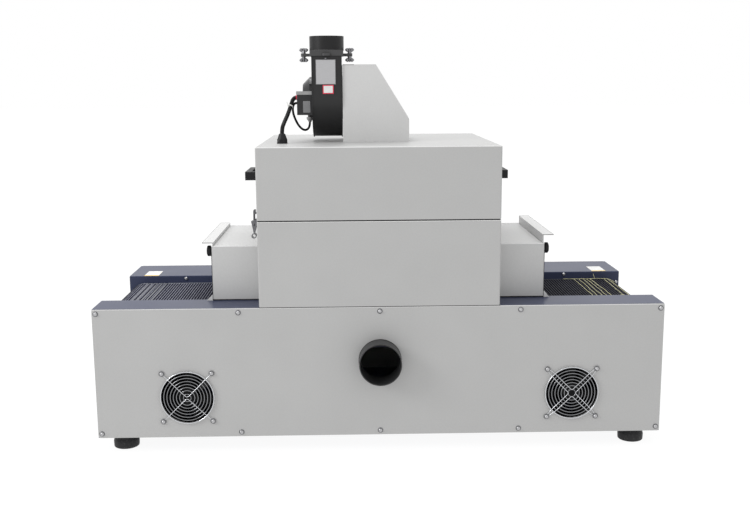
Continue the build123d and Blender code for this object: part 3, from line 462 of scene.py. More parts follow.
def circle(steps):
    """Points round a circle of radius one, as pairs."""
    return [(math.cos(2 * math.pi * step / steps), math.sin(2 * math.pi * step / steps))
            for step in range(steps)]


def bridge(stack, first, second):
    """Joins two closed rows of vertices with quads."""
    for index in range(len(first)):
        after = (index + 1) % len(first)
        stack.faces.new((first[index], first[after], second[after], second[index]))


def points_piece(name, places):
    """An object that is only points, for a pattern to work on."""
    mesh = bpy.data.meshes.new(name)
    mesh.from_pydata([tuple(place) for place in places], [], [])
    return mesh_piece(name, mesh)


# %% Wires
def wire_piece(name, runs, radius, material, closed=False):
    """Thin tubes, made a smooth mesh."""
    holder = tube(name, runs, radius, 3, 6, closed)
    view = bpy.context.evaluated_depsgraph_get()
    mesh = bpy.data.meshes.new_from_object(holder.evaluated_get(view))
    bpy.data.objects.remove(holder)
    mesh.name = name
    mesh.materials.clear()
    mesh.materials.append(material)
    return smooth(mesh_piece(name, mesh))


# %% [markdown]
# ## Mesh belt
#
# The belt is open glass mesh with a black coating, and one looks through it at the bed. A picture of
# holes would look flat from the side, so the threads are real. The lengthwise threads are thin and
# dull, and their coat is painted darker than the crosswise one: painted shade, for the shade they lie
# in between the crosswise threads. The crosswise ones are thicker. Towards the left end each coat of
# the threads, tapes and bands is painted lighter, which a mask on X gives: a painted sheen, standing in
# for the light the threads catch there. One lengthwise thread is swept round both rollers and repeated
# across the width. One crosswise thread is repeated along the same loop.

# %% The loop round both rollers, at the middle of the belt's thickness
belt_low, belt_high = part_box("belt")
nose = (belt_high.z - belt_low.z) / 2 - 0.0006
nose_x = belt_high.x - (belt_high.z - belt_low.z) / 2
nose_z = (belt_low.z + belt_high.z) / 2
arc_steps = 18


def belt_top(x, lift=0.0):
    """The height of the belt's upper run at x, also where it bends over a roller."""
    past = max(0.0, abs(x) - nose_x)
    return nose_z + math.sqrt(max(0.0, (nose + lift) ** 2 - past ** 2))


loop_points = []
for side, start in ((1, 0), (-1, math.pi)):
    for step in range(arc_steps + 1):
        angle = math.pi * (0.5 - step / arc_steps) + start
        loop_points.append((side * nose_x + nose * math.cos(angle), nose_z + nose * math.sin(angle)))
loop_length = 4 * nose_x + 2 * math.pi * nose


# %% Coatings of the two kinds of thread
# The painted sheen lies between these two places along X. It stands in for the light the threads catch
# near the left end.
sheen_start = -0.30
sheen_end = -0.582


def thread_coat(name, dark, light, roughness, gloss):
    coat = Finish(name, dark, roughness, gloss=gloss)
    place = coat.place()
    x = coat.axes(place)[0]
    # Painted sheen: the coat turns lighter towards the left end, standing in for light caught by the
    # threads, and is mixed with a random patchy tone.
    painted_sheen = ((x - sheen_start) * -6.0).clamped() * ((x - sheen_end) * 90.0).clamped()
    patchy = coat.noise(place, 45.0, 4.0)
    fine = coat.noise(place, 1400.0, 3.0)
    tone = coat.mix((painted_sheen * 0.85 + patchy * 0.3).clamped(), tint(dark), tint(light))
    coat.set(**{"Base Color": tone, "Roughness": (patchy * 0.2 + (roughness - 0.1)).clamped(),
                "Normal": coat.bump(fine, 0.5, 0.0001)})
    return coat.material


# The lengthwise coat is painted darker than the crosswise one: painted shade, for the shade the
# lengthwise threads lie in between the crosswise ones.
lengthwise_painted_shade_coat = thread_coat("belt_lengthwise_coating", (0.005, 0.005, 0.007),
                              (0.020, 0.021, 0.036), 0.65, 0.05)
crosswise_coat = thread_coat("belt_crosswise_coating", (0.014, 0.015, 0.021),
                             (0.225, 0.23, 0.275), 0.60, 0.10)

# %% Lengthwise threads
thread_pitch = 0.0042
thread_width = 0.0012
thread_height = 0.0009
section = ((-0.5, 0.15), (-0.25, 0.5), (0.25, 0.5), (0.5, 0.15), (0.5, -0.15), (0.25, -0.5),
           (-0.25, -0.5), (-0.5, -0.15))
thread = bmesh.new()
rings = []
for index, (x, z) in enumerate(loop_points):
    before = Vector(loop_points[index - 1])
    after = Vector(loop_points[(index + 1) % len(loop_points)])
    along = (after - before).normalized()
    out = Vector((-along.y, along.x))
    rings.append([thread.verts.new((x + out.x * high * thread_height, across * thread_width,
                                    z + out.y * high * thread_height)) for across, high in section])
for ring, following in zip(rings, rings[1:] + rings[:1]):
    bridge(thread, ring, following)
bmesh.ops.recalc_face_normals(thread, faces=thread.faces)
lengthwise = mesh_piece("belt_lengthwise_threads", thread)
width = belt_high.y - belt_low.y - thread_width
count = int(width / thread_pitch) + 1
spread = Pattern("threads_across", Count=count, Offset=(0.0, width / (count - 1), 0.0),
                 Start=(0.0, belt_low.y + thread_width / 2, 0.0), Material=lengthwise_painted_shade_coat)
row = spread.geo("MeshLine", {"Count": spread.input("Count"), "Offset": spread.input("Offset"),
                              "Start Location": spread.input("Start")}, mode="OFFSET")
spread.finish(spread.geo("InstanceOnPoints", {"Points": row, "Instance": spread.own_mesh}))
spread.apply(lengthwise)

# %% Crosswise threads
crosswise_pitch = 0.0061
loop_mesh = bpy.data.meshes.new("belt_crosswise_threads")
edge_list = [(index, (index + 1) % len(loop_points)) for index in range(len(loop_points))]
loop_mesh.from_pydata([(x, 0, z) for x, z in loop_points], edge_list, [])
crosswise = mesh_piece("belt_crosswise_threads", loop_mesh)
across = Pattern("threads_along", Count=int(loop_length / crosswise_pitch), Radius=0.00105,
                 Width=width + thread_width, Flatten=(1.0, 1.0, 0.48),
                 Upright=(math.pi / 2, 0.0, 0.0), Middle=(0.0, (belt_low.y + belt_high.y) / 2, 0.0),
                 Material=crosswise_coat)
loop_curve = across.geo("MeshToCurve", {0: across.own_mesh})
stations = across.geo("CurveToPoints", {"Curve": loop_curve, "Count": across.input("Count")})
tangent = Value(across, across.last.outputs["Tangent"])
facing = across.node("FunctionNodeAlignRotationToVector", {"axis": "X", "pivot_axis": "Y"},
                     {"Vector": tangent})
bar = across.geo("MeshCylinder", {"Vertices": 8, "Radius": across.input("Radius"),
                                  "Depth": across.input("Width")})
laid = across.geo("Transform", {"Geometry": bar, "Rotation": across.input("Upright")})
flat = across.geo("Transform", {"Geometry": laid, "Scale": across.input("Flatten")})
placed = across.geo("InstanceOnPoints", {"Points": stations, "Instance": flat, "Rotation": facing})
across.finish(across.geo("SetPosition", {"Geometry": placed, "Offset": across.input("Middle")}))
across.apply(crosswise)
for piece in (lengthwise, crosswise):
    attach(piece, "base")
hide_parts("belt")

# %% [markdown]
# The belt's edges are bound with a narrow woven tape, which shows as a light line along the far side.
# Near the left roller five wider pale bands cross the belt: a painted highlight, standing in for the
# sheen of the threads as the belt nears the roller. Both are ribbons, made from pairs of edge points,
# with a thickness of their own.


# %% Ribbons
def ribbon(name, runs, thickness, material):
    """Flat bands through pairs of edge points, each also with its upward direction."""
    band = bmesh.new()
    for run in runs:
        hoops = []
        for left, right, up in run:
            left, right, up = Vector(left), Vector(right), Vector(up).normalized() * thickness
            hoops.append([band.verts.new(place) for place in (left, left + up, right + up, right)])
        closed = (Vector(run[0][0]) - Vector(run[-1][0])).length < 1e-6
        if closed:
            for corner in hoops[-1]:
                band.verts.remove(corner)
            hoops[-1] = hoops[0]
        for hoop, following in zip(hoops, hoops[1:]):
            bridge(band, hoop, following)
        if not closed:
            band.faces.new(hoops[0])
            band.faces.new(list(reversed(hoops[-1])))
    bmesh.ops.recalc_face_normals(band, faces=band.faces)
    piece = mesh_piece(name, band)
    piece.data.materials.append(material)
    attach(piece, "base")


# %% Edge tapes and painted sheen bands
tape_coat = thread_coat("belt_edge_tape", (0.045, 0.047, 0.055), (0.30, 0.31, 0.34), 0.6, 0.2)
sheen_coat_of_bands = thread_coat("belt_joining_band", (0.08, 0.08, 0.09), (0.125, 0.128, 0.145), 0.5, 0.2)
tapes = []
for edge_y, inward in ((belt_low.y + 0.0005, 0.0035), (belt_high.y - 0.0005, -0.0035)):
    run = []
    for x, z in loop_points + loop_points[:1]:
        up = Vector((x - math.copysign(min(abs(x), nose_x), x), 0, z - nose_z))
        face = Vector((x, 0, z)) + up.normalized() * 0.0004
        run.append(((face.x, edge_y, face.z), (face.x, edge_y + inward, face.z), up))
    tapes.append(run)
ribbon("belt_edge_tapes", tapes, 0.0002, tape_coat)
# The five pale bands are painted highlights, standing in for the sheen of the threads near the left
# roller.
bands = []
band_half = 0.0022
for x in (-0.5530, -0.5420, -0.5310, -0.5200, -0.5090):
    left, right = x - band_half, x + band_half
    bands.append([((left, y, belt_top(left, 0.0002)), (right, y, belt_top(right, 0.0002)), (0, 0, 1))
                  for y in (belt_low.y + 0.001, belt_high.y - 0.001)])
ribbon("belt_joining_bands", bands, 0.0004, sheen_coat_of_bands)

# %% [markdown]
# At the right end the belt is mended with pale yellow glass yarn. Seven hand-sewn rows cross it, a
# little wavy because each stitch pulls the yarn aside, and a dense zigzag runs along the far edge. One
# end of the yarn stands up loose, and one stitch doubles back near the fan side. Every row is a smooth
# wire whose points swing by a seeded amount.

# %% Sewn rows
yarn = Finish("belt_mending_yarn", (0.62, 0.60, 0.36), 0.75, gloss=0.25)
yarn_twist = yarn.noise(yarn.place(), 900.0, 2.0)
yarn.set(**{"Base Color": yarn.mix(yarn_twist, (0.52, 0.50, 0.27, 1), (0.74, 0.72, 0.50, 1)),
            "Normal": yarn.bump(yarn_twist, 0.6, 0.0002)})
sway = random.Random(11)
sewn_rows = ((0.487, 0.489), (0.499, 0.499), (0.510, 0.508), (0.519, 0.520), (0.527, 0.533),
             (0.561, 0.558), (0.571, 0.575))
stitch_steps = 13
stitches = []
for far_x, near_x in sewn_rows:
    row_points = []
    for step in range(stitch_steps + 1):
        share = step / stitch_steps
        x = far_x + (near_x - far_x) * share + sway.uniform(-0.0012, 0.0012)
        y = belt_high.y - 0.006 + (belt_low.y + 0.012 - belt_high.y) * share
        row_points.append((x, y, belt_top(x, 0.0007)))
    stitches.append(row_points)
zigzag_start = 0.461
zigzag_end = 0.588
zigzag_width = 0.0070
edge_row = []
edge_x = zigzag_start
while edge_x < zigzag_end:
    lean = zigzag_width if len(edge_row) % 2 else 0.0
    edge_row.append((edge_x, belt_high.y - 0.0015 - lean, belt_top(edge_x, 0.0010 + lean * 0.15)))
    edge_x += sway.uniform(0.0022, 0.0032)
stitches.append(edge_row)
loose_end = [(0.5385, belt_high.y - 0.004, belt_top(0.5385, 0.001)),
             (0.5370, belt_high.y - 0.001, belt_top(0.5370, 0.006)),
             (0.5345, belt_high.y - 0.002, belt_top(0.5345, 0.013))]
doubled_back = [(0.545, belt_low.y + 0.060, belt_top(0.545, 0.0007)),
                (0.556, belt_low.y + 0.085, belt_top(0.556, 0.001)),
                (0.567, belt_low.y + 0.060, belt_top(0.567, 0.0007))]
stitches += [loose_end, doubled_back]
sewn = wire_piece("belt_sewn_rows", stitches, 0.00055, yarn.material)
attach(sewn, "base")

# %% [markdown]
# ## Fan guards
#
# A fan guard is bent from plated wire: seven rings and a thicker rim, welded onto crossing bars that
# end in an eye at each screw. The rings differ only in radius, so a tree sweeps the wire round a
# circle at each point, scaled by the radius. The bars, eyes and rim are drawn as smooth curves. On the
# left guard two bars bend at the middle, and on the right one four do, each from screw to screw.

# %% Rings
ring_radii = (0.008, 0.016, 0.0228, 0.0294, 0.036, 0.0428, 0.0494)
rim_radius = 0.0563
rim_wire = 0.0012
wire_radius = 0.0009
bar_radius = 0.0008
rings_tree = Pattern("guard_rings", Wire=wire_radius, Turn=(math.pi / 2, 0.0, 0.0),
                     Material=ring_painted_shade_chrome)
unit_ring = rings_tree.geo("CurvePrimitiveCircle", {"Resolution": 72, "Radius": 1.0})
ring_radius = rings_tree.geo("InputNamedAttribute", {0: "radius"}, data_type="FLOAT")
hoops = rings_tree.geo("InstanceOnPoints", {"Points": rings_tree.own_mesh, "Instance": unit_ring,
                                            "Rotation": rings_tree.input("Turn"),
                                            "Scale": ring_radius})
wire = rings_tree.geo("CurvePrimitiveCircle", {"Resolution": 10, "Radius": rings_tree.input("Wire")})
loose = rings_tree.geo("RealizeInstances", {0: hoops})
even = rings_tree.geo("SetCurveRadius", {0: loose, "Radius": 1.0})
rings_tree.finish(rings_tree.geo("CurveToMesh", {0: even, 1: wire}))
guard_front = {}
for side in ("left", "right"):
    low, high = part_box(f"{side}_fan_guard")
    centre = (low + high) / 2
    guard_front[side] = Vector((centre.x, low.y + wire_radius, centre.z))
    rings_piece = points_piece(f"{side}_guard_rings", [guard_front[side]] * len(ring_radii))
    kept = rings_piece.data.attributes.new("radius", "FLOAT", "POINT")
    kept.data.foreach_set("value", ring_radii)
    rings_tree.apply(rings_piece)
    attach(rings_piece, "base")
    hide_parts(f"{side}_fan_guard")


# %% Bars, eyes and rim
screw_reach = 0.0525
eye_radius = 0.0050
arm_lengths = (0.0715, 0.0640, 0.0400, 0.0065)
arm_depths = (0.0032, 0.0008, -0.0012, -0.0012)
arm_widths = (0.30, 0.90, 1.0, 1.0)


def arm_points(front, turn_x, turn_z, offset):
    """The points of one bar, from its screw in to the guard's middle."""
    out = Vector((turn_x, 0, turn_z)).normalized()
    sideways = Vector((-turn_z, 0, turn_x)).normalized()
    return [front + out * reach + sideways * offset * width + Vector((0, depth, 0))
            for reach, depth, width in zip(arm_lengths, arm_depths, arm_widths)]


corners_round = ((1, 1), (1, -1), (-1, -1), (-1, 1))
for side, front in guard_front.items():
    bars = []
    if side == "left":
        turns = [((-1, 1), (1, 1), 0.0), ((-1, -1), (1, -1), 0.0)]
        vertex_share = 0.35
    else:
        turns = [(corners_round[index - 1], corners_round[index], 0.0044) for index in range(4)]
        vertex_share = 1.0
    for first, second, gap in turns:
        start = arm_points(front, *first, -gap)
        back = arm_points(front, *second, gap)
        middle = (start[-1] + back[-1]) / 2
        vertex = front + (middle - front) * vertex_share
        vertex.y = middle.y
        bars.append(start + [vertex] + back[::-1])
    bar_piece = wire_piece(f"{side}_guard_bars", bars, bar_radius, chrome)
    eyes = []
    for turn_x, turn_z in corners_round:
        eye = front + Vector((turn_x * screw_reach, 0.0032, turn_z * screw_reach))
        eyes.append([eye + Vector((x, 0, z)) * eye_radius for x, z in circle(10)])
    eye_piece = wire_piece(f"{side}_guard_eyes", eyes, wire_radius, chrome, True)
    rim = [front + Vector((x, 0, z)) * rim_radius for x, z in circle(48)]
    rim_piece = wire_piece(f"{side}_guard_rim", [rim], rim_wire, chrome, True)
    for piece in (bar_piece, eye_piece, rim_piece):
        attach(piece, "base")

# %% [markdown]
# ## Screws
#
# Pan-head screws hold the side panels, the fans, the far rail's inner wall, the hinges and the latches.
# One head is turned by spinning a short profile, a cross recess is pressed into it, and a tree puts a
# copy at each place, each turned by its own seeded angle, because no two screws stop at the same one.
# Under each panel and fan screw sits a darker, wider and very flat head: painted shade, which outlines
# the domed head as its shadow would.


# %% One screw head
def screw_head(name, radius, height):
    """A domed head that looks along -Y, with a cross recess."""
    head = bmesh.new()
    profile = [(0.35, 0.97), (0.62, 0.86), (0.84, 0.62), (0.97, 0.30), (1.0, 0.0)]
    steps = 24
    hoops = [[head.verts.new((x * share * radius, -rise * height, z * share * radius))
              for x, z in circle(steps)] for share, rise in profile]
    tip = head.verts.new((0, -height * 0.55, 0))
    for inner, outer in zip(hoops, hoops[1:]):
        bridge(head, inner, outer)
    for step in range(steps):
        head.faces.new((tip, hoops[0][(step + 1) % steps], hoops[0][step]))
    for step in range(steps):
        if step % 6 in (0, 1, 5):
            continue
        hoops[0][step].co *= 0.55
        hoops[0][step].co.y = -height * 0.97
    head.faces.new(list(reversed(hoops[-1])))
    bmesh.ops.recalc_face_normals(head, faces=head.faces)
    return smooth(mesh_piece(name, head))


panel_screw = screw_head("screw_head", 0.0045, 0.0040)
# A darker, wider, very flat head to sit under a screw: painted shade that outlines the dome as its
# shadow would.
washer = screw_head("washer", 0.0059, 0.0008)


# %% Screws at their places
def screws(name, places, turn, body, scale, seed, head=panel_screw, finish=screw_steel):
    """Copies of a head at points, all facing one way, each spun by its own angle."""
    tree = Pattern(f"{name}_pattern", Head=head, Turn=turn, Scale=scale, Seed=seed, Material=finish)
    tree.geo("ObjectInfo", {0: tree.input("Head")})
    source = Value(tree, tree.last.outputs["Geometry"])
    spin = tree.node("FunctionNodeRandomValue", {"data_type": "FLOAT"},
                     {"Min": 0.0, "Max": math.pi / 2, "Seed": tree.input("Seed")}, 1)
    own = tree.node("ShaderNodeCombineXYZ", {}, {1: spin})
    facing = tree.geo("InstanceOnPoints", {"Points": tree.own_mesh, "Instance": source,
                                           "Rotation": tree.input("Turn"),
                                           "Scale": tree.input("Scale")})
    tree.finish(tree.geo("RotateInstances", {"Instances": facing, "Rotation": own}))
    piece = tree.apply(points_piece(name, places))
    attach(piece, body)


face_rear = (0.0, 0.0, 0.0)
face_front = (0.0, 0.0, math.pi)
face_right = (0.0, 0.0, math.pi / 2)
face_left = (0.0, 0.0, -math.pi / 2)
panel_low, panel_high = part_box("rear_panel")
rear_y = panel_low.y
front_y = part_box("front_panel")[1].y
columns = (-0.592, -0.296, 0.0, 0.296, 0.592)
rows = (panel_low.z + 0.0095, panel_high.z - 0.0095)
rear_spots, front_spots = ([(x, wall, z) for x in columns for z in rows] for wall in (rear_y, front_y))
fan_spots = [(front.x + turn_x * screw_reach, rear_y - 0.0022, front.z + turn_z * screw_reach)
             for front in guard_front.values() for turn_x in (-1, 1) for turn_z in (-1, 1)]
for name, spots, face, seed in (("rear_panel", rear_spots, face_rear, 3),
                                ("front_panel", front_spots, face_front, 5),
                                ("fan", fan_spots, face_rear, 7)):
    screws(f"{name}_screws", spots, face, "base", 1.0, seed)
    # Each panel and fan screw gets the darker flat head beneath it, a painted shade ring.
    screws(f"{name}_washers", spots, face, "base", 1.0, seed, washer, latch_steel)
far_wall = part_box("front_rail")[0].y
rail_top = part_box("front_rail")[1].z
wall_spots = [(-0.463, far_wall, rail_top - 0.007), (0.463, far_wall, rail_top - 0.006),
              (0.593, far_wall, rail_top - 0.026)]
leaf_x = 0.254
plate_x = -0.2535
hinge_ys = [y + step for y in (-0.13, 0.17) for step in (-0.022, 0.0, 0.022)]
latch_ys = (-0.16, 0.20)
latch_spots = [(plate_x, y + step, z) for y in latch_ys for step in (-0.0098, 0.0098)
               for z in (0.4578, 0.4858)]
keeper_spots = [(plate_x, y + step, 0.5235) for y in latch_ys for step in (-0.0065, 0.0065)]
for name, spots, face, body, scale, seed in (
        ("rail_wall_screws", wall_spots, face_rear, "base", 0.95, 9),
        ("box_hinge_screws", [(leaf_x, y, 0.4738) for y in hinge_ys], face_right, "base", 0.62, 11),
        ("lid_hinge_screws", [(leaf_x, y, 0.5177) for y in hinge_ys], face_right, "lid", 0.62, 12),
        ("latch_plate_screws", latch_spots, face_left, "base", 0.5, 13),
        ("keeper_screws", keeper_spots, face_left, "lid", 0.5, 14)):
    screws(name, spots, face, body, scale, seed)
bpy.data.objects.remove(panel_screw)
bpy.data.objects.remove(washer)

# %% [markdown]
# ## Labels, painted shadow lines and small fittings
#
# The labels and rating plates carry no words. Each is a thin block with softened edges, and one helper
# makes a whole set from low and high corners. Dark foam strips along the foot of the lamp box and of
# both tunnels, and at the tunnels' outer ends, are painted shadow: they stand in for the shade in the
# gaps where these parts meet.


# %% Blocks
def blocks(name, rows, body, soften=0.0001):
    """Thin blocks in one piece, each from a low corner, a high corner and a finish."""
    stack = bmesh.new()
    finishes = []
    for low, high, finish in rows:
        if finish not in finishes:
            finishes.append(finish)
        low, high = Vector(low), Vector(high)
        corners = bmesh.ops.create_cube(stack, size=1.0)["verts"]
        for corner in corners:
            corner.co = (low + high) / 2 + corner.co * (high - low)
        for face in {face for corner in corners for face in corner.link_faces}:
            face.material_index = finishes.index(finish)
    bmesh.ops.bevel(stack, geom=list(stack.edges), offset=soften, segments=2, affect="EDGES")
    piece = mesh_piece(name, stack)
    for finish in finishes:
        piece.data.materials.append(finish)
    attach(piece, body)


label_top = rail_top + 0.0004
labels = []
for left, right, near, far in ((-0.565, -0.530, 0.133, 0.191), (0.534, 0.568, 0.135, 0.1955)):
    stripe = near + 0.0055
    labels.append(((left, near, rail_top), (right, stripe, label_top), label_yellow))
    labels.append(((left, stripe, rail_top), (right, far, label_top), label_white))
blocks("rail_labels", labels, "base")

blower_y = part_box("blower_housing")[0].y
plates = [((-0.1318, blower_y - 0.0004, 0.7715), (-0.0884, blower_y, 0.8247), label_grey),
          ((-0.1308, blower_y - 0.0008, 0.7725), (-0.0894, blower_y - 0.0003, 0.8237), plate_metal),
          ((-0.1170, blower_y - 0.0004, 0.7515), (-0.0932, blower_y, 0.7706), label_red),
          ((-0.1150, blower_y - 0.0006, 0.7535), (-0.0952, blower_y - 0.0003, 0.7686), label_white)]
blocks("blower_labels", plates, "lid")

terminal_low, terminal_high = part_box("terminal_box")
terminal_y = terminal_low.y
cover = [((terminal_low.x - 0.0012, terminal_y - 0.0014, terminal_high.z - 0.0062),
          (terminal_high.x, terminal_high.y + 0.0014, terminal_high.z + 0.0012), cover_plastic),
         ((terminal_low.x + 0.0135, terminal_y - 0.0006, terminal_low.z + 0.0055),
          (terminal_low.x + 0.0290, terminal_y, terminal_low.z + 0.0300), label_grey)]
blocks("terminal_cover", cover, "lid", 0.0004)

# %% Painted shadow lines
box_low, box_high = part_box("lamp_box")
strip_half = 0.0004
tunnel_near = -0.152
tunnel_far = 0.16
# Painted shadow: dark strips at the foot of the lamp box and the tunnels stand in for the shade in the
# gaps where they meet the rail.
shadow_strips = [((box_low.x, wall - strip_half, rail_top - 0.0006), (box_high.x, wall + strip_half, rail_top + 0.0008))
         for wall in (box_low.y, box_high.y)]
for wall in (box_low.x, box_high.x):
    for near, far in ((box_low.y, tunnel_near), (tunnel_far, box_high.y)):
        shadow_strips.append(((wall - strip_half, near, rail_top), (wall + strip_half, far, rail_top + 0.0014)))
tunnel_foot = rail_top + 0.0026
tunnels = {side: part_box(f"{side}_tunnel") for side in ("left", "right")}
for low, high in tunnels.values():
    for wall in (low.y, high.y):
        shadow_strips.append(((low.x, wall - strip_half, rail_top), (high.x, wall + strip_half, tunnel_foot)))
blocks("foot_seals", [(*strip, gasket_and_shadow_foam) for strip in shadow_strips], "base")

# Painted shadow: thin dark strips at the tunnels' outer ends stand in for the shadow gap beside the
# shutters.
gap_width = 0.0012
gap_depth = 0.0003
gap_lines = []
for side, (low, high) in tunnels.items():
    x = low.x if side == "left" else high.x - gap_width
    for wall in (low.y - gap_depth, high.y):
        gap_lines.append(((x, wall, tunnel_foot), (x + gap_width, wall + gap_depth, high.z)))
blocks("tunnel_edge_seals", [(*strip, gasket_and_shadow_foam) for strip in gap_lines], "base")

# %% [markdown]
# The long folded edges of the sheets get a painted highlight: slim rounded pale strips on the folds
# stand in for the thin bright line that the bends catch under the light from above. The cut edges of
# the shutters' lips and of the hood's flange are darker, and get strips of their own.

# %% Painted highlights on the folded edges
skin = 0.0003


def folds(name, boxes, inset, drop, rise, body):
    """Pale strips on the upper folds of sheets, at the near and far side of each box: painted
    highlights, standing in for the light the bends catch.
    """
    strips = [((low.x + inset, y - skin, high.z - drop), (high.x - inset, y + 2 * skin, high.z + rise),
               edge_paint) for low, high in boxes for y in (low.y, high.y - skin)]
    blocks(name, strips, body, 0.0003)


folds("panel_folds", [(panel_low, Vector((panel_high.x, front_y, rail_top)))], 0.0010, 0.0018, -0.0002,
      "base")
folds("lid_folds", [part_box("lid")], 0.0010, 0.0016, 0.0002, "lid")
folds("tunnel_folds", tunnels.values(), 0, 0.0014, 0.0002, "base")

# %% Cut edges
hood_low, hood_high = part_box("hood")
flange = [((hood_low.x + 0.0006, hood_low.y - 0.0004, hood_high.z - 0.0012),
           (hood_low.x + 0.0250, hood_low.y + 0.0006, hood_high.z + 0.0002), cut_edge_paint)]
blocks("hood_flange_edge", flange, "lid")
for side in ("left", "right"):
    low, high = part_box(f"{side}_shutter")
    tip = low.x if side == "left" else high.x
    bottom, top = high.z - 0.0013, high.z + 0.0002
    lip = [((tip - skin, low.y, bottom), (tip + skin, high.y, top), cut_edge_paint)]
    lip += [((low.x, wall - skin, bottom), (high.x, wall + skin, top), cut_edge_paint)
            for wall in (low.y, high.y)]
    blocks(f"{side}_shutter_cut_edges", lip, f"{side}_shutter")
folds("box_folds", [(box_low, box_high)], 0.0010, 0.0016, 0, "base")

# %% [markdown]
# The blower's outlet is held by wing nuts, one above and one below each ear on a stud. These bodies are
# round, so a helper stacks circles along an axis, and each wing is a round body pressed flat. The same
# helper gives the rating plate's rivet, the cable tie, the red mark ring on the sleeve and the gland
# of the motor's lead.


# %% Round bodies
def turned(stack, start, aim, profile, sides=20):
    """Adds a round body to a bmesh, from (distance, radius) pairs along an axis."""
    turn = Vector(aim).to_track_quat("Z", "Y").to_matrix()
    hoops = [[stack.verts.new(Vector(start) + turn @ Vector((radius * x, radius * y, reach)))
              for x, y in circle(sides)] for reach, radius in profile]
    for hoop, following in zip(hoops, hoops[1:]):
        bridge(stack, hoop, following)
    stack.faces.new(list(reversed(hoops[0])))
    stack.faces.new(hoops[-1])


def round_piece(name, stack, finish, body="lid"):
    """A piece from a stack of round bodies, smooth except at its sharp edges."""
    piece = smooth(mesh_piece(name, stack))
    piece.data.materials.append(finish)
    piece.data.set_sharp_from_angle(angle=math.radians(35))
    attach(piece, body)
    return piece


# %% Wing nuts
ear_top = 0.838
ear_bottom = 0.832
nut_y = -0.031
wing_flatness = 0.38
stud_profile = [(0, 0.0017), (0.0005, 0.0021), (0.0295, 0.0021), (0.0300, 0.0017)]
nut_profile = [(0, 0.0055), (0.0010, 0.0055), (0.0010, 0.0038), (0.0062, 0.0030)]
wing_profile = [(0, 0.0014), (0.0020, 0.0020), (0.0045, 0.0034), (0.0070, 0.0042), (0.0088, 0.0035),
                (0.0098, 0.0018)]
rivet_profile = [(0, 0.0022), (0.0006, 0.0020), (0.0010, 0.0012)]
nuts = bmesh.new()
for x in (-0.1585, -0.058):
    turned(nuts, (x, nut_y, 0.8200), (0, 0, 1), stud_profile, 16)
    for seat, up in ((ear_top, 1), (ear_bottom, -1)):
        turned(nuts, (x, nut_y, seat), (0, 0, up), nut_profile)
        for side in (-1, 1):
            before = len(nuts.verts)
            wing_root = (x + side * 0.0024, nut_y, seat + up * 0.0026)
            turned(nuts, wing_root, (side * 0.5, 0, up * 0.87), wing_profile, 16)
            nuts.verts.ensure_lookup_table()
            for spot in nuts.verts[before:]:
                spot.co.y = nut_y + (spot.co.y - nut_y) * wing_flatness
turned(nuts, (-0.1100, blower_y, 0.8275), (0, -1, 0), rivet_profile, 16)
round_piece("outlet_wing_nuts", nuts, wing_steel)

# %% Ties and glands
sleeve_before, sleeve_at, sleeve_after = (Vector(place) for place in sleeve_route[1:4])
tie_spot = sleeve_at * 0.75 + (sleeve_before + sleeve_after) * 0.125
tie_aim = (sleeve_after - sleeve_before).normalized()
collar_in = sleeve_radius - 0.0001
collar_out = sleeve_radius + 0.0009


def collar_profile(width):
    """The section of a thin band round the sleeve."""
    return [(0, collar_in), (0, collar_out), (width, collar_out), (width, collar_in)]


tie = bmesh.new()
turned(tie, tie_spot - tie_aim * 0.0013, tie_aim, collar_profile(0.0026))
turned(tie, tie_spot + Vector((-0.0040, -0.0038, 0.0)), (-0.35, -0.25, 0.9),
       [(0, 0.0019), (0.0032, 0.0019), (0.0032, 0.0008), (0.0110, 0.0006)], 8)
round_piece("cable_tie", tie, tie_nylon)
mark = bmesh.new()
turned(mark, (-0.1764, -0.047, 0.7437), (1, 0, 0.05), collar_profile(0.0022))
round_piece("sleeve_mark_ring", mark, label_red)
lead_gland = bmesh.new()
turned(lead_gland, (-0.149, 0.008, 0.6885), (0, 0, 1),
       [(0, 0.0032), (0.0030, 0.0045), (0.0060, 0.0075), (0.0110, 0.0075)])
round_piece("motor_lead_gland", lead_gland, cover_plastic)

# %% [markdown]
# The clamp knobs are moulded with six soft lobes round a thin stud. The circle that a knob is stacked
# from swells and shrinks round its axis, and the rim is rounded at both faces.

# %% Clamp knobs
lobe_depth = 0.075
for side, aim in (("left", -1), ("right", 1)):
    for row in ("rear", "front"):
        name = f"{side}_{row}_knob"
        low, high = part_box(name)
        reach = high.x - low.x
        root = high.x if aim < 0 else low.x
        rim = (high.z - low.z) / 2
        stud = reach - 0.0125
        boss = reach - 0.0098
        outline = [(0.0, 0.0028), (stud, 0.0028), (stud, 0.0057), (boss, 0.0057), (boss, rim * 0.80),
                   (boss + 0.0008, rim * 0.93), (boss + 0.0022, rim), (reach - 0.0030, rim),
                   (reach - 0.0016, rim * 0.94), (reach - 0.0005, rim * 0.78), (reach, rim * 0.52),
                   (reach - 0.0006, rim * 0.30)]
        middle = Vector((root, (low.y + high.y) / 2, (low.z + high.z) / 2))
        knob = bmesh.new()
        turned(knob, middle, (aim, 0, 0), outline, 60)
        for spot in knob.verts:
            around = spot.co - middle
            spoke = Vector((0, around.y, around.z))
            if spoke.length > 0.007:
                wave = 0.5 - 0.5 * math.cos(6 * math.atan2(around.z, around.y) + math.pi)
                spot.co = middle + Vector((around.x, 0, 0)) + spoke * (1 - lobe_depth * wave)
        piece = round_piece(f"{name}_moulding", knob, knob_plastic, name)
        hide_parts(name)

# %% [markdown]
# A small triangular gusset stands at the foot of each tunnel's outer corners, on the rail.

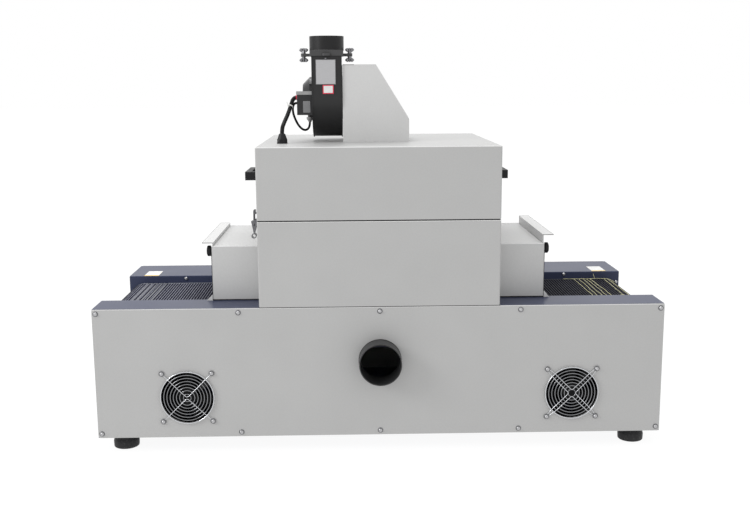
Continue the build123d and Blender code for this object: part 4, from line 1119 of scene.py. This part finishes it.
# %% Tunnel gussets
gusset_leg = 0.0130
gusset_sheet = 0.0014
gussets = bmesh.new()
for side, outer in ((-1, tunnels["left"][0].x), (1, tunnels["right"][1].x)):
    for wall, inward in ((tunnel_near, gusset_sheet), (tunnel_far, -gusset_sheet)):
        corners = ((0.0, 0.0), (side * gusset_leg, 0.0), (0.0, gusset_leg))
        near, far = ([gussets.verts.new((outer + x, y, rail_top + z)) for x, z in corners]
                     for y in (wall, wall + inward))
        gussets.faces.new(near)
        gussets.faces.new(list(reversed(far)))
        bridge(gussets, far, near)
bmesh.ops.recalc_face_normals(gussets, faces=gussets.faces)
gusset_piece = mesh_piece("tunnel_gussets", gussets)
gusset_piece.data.materials.append(shutter_coat_painted_light)
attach(gusset_piece, "base")

# %% [markdown]
# ## Light, floor and the end
#
# The floor glows nearly white, so it takes only a faint contact shadow, as in a cut-out product
# picture. Soft light comes from above and from the left.

# %% Floor and lights
floor_mesh = bmesh.new()
bmesh.ops.create_grid(floor_mesh, x_segments=1, y_segments=1, size=30)
floor = mesh_piece("floor", floor_mesh)
floor_finish = Finish("studio_floor", (0.10, 0.10, 0.10), 0.9, gloss=0.0,
                      **{"Emission Color": (1.0, 1.0, 1.0, 1.0), "Emission Strength": 0.93})
floor.data.materials.append(floor_finish.material)

world = scene.world or bpy.data.worlds.new("studio")
scene.world = world
world.use_nodes = True
sky = world.node_tree.nodes["Background"].inputs
sky["Color"].default_value = (1.0, 1.0, 1.0, 1)
sky["Strength"].default_value = 1.0
scene.view_settings.view_transform = "Standard"


def soft_light(name, place, target, size, power):
    """A square area light that looks at a point."""
    data = bpy.data.lights.new(name, "AREA")
    data.shape = "SQUARE"
    data.size = size
    data.energy = power
    light = linked(name, data)
    aim = (Vector(target) - Vector(place)).to_track_quat("-Z", "Y")
    light.matrix_world = Matrix.Translation(place) @ aim.to_matrix().to_4x4()


soft_light("light_above", (-0.3, 0.8, 3.4), (0, 0.1, 0.4), 2.4, 62)
soft_light("light_left", (-2.9, -1.5, 1.9), (-0.2, 0, 0.4), 1.3, 42)

# %% Cables and the end
for piece, node, radius, route, length in (
        (sleeve, "blower_cable", sleeve_radius, sleeve_route, 0.102),
        (lead, "motor_lead", lead_radius, lead_route, 0.119)):
    piece.data.materials.append(cable_sheath)
    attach(piece, "lid")
    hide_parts(node)
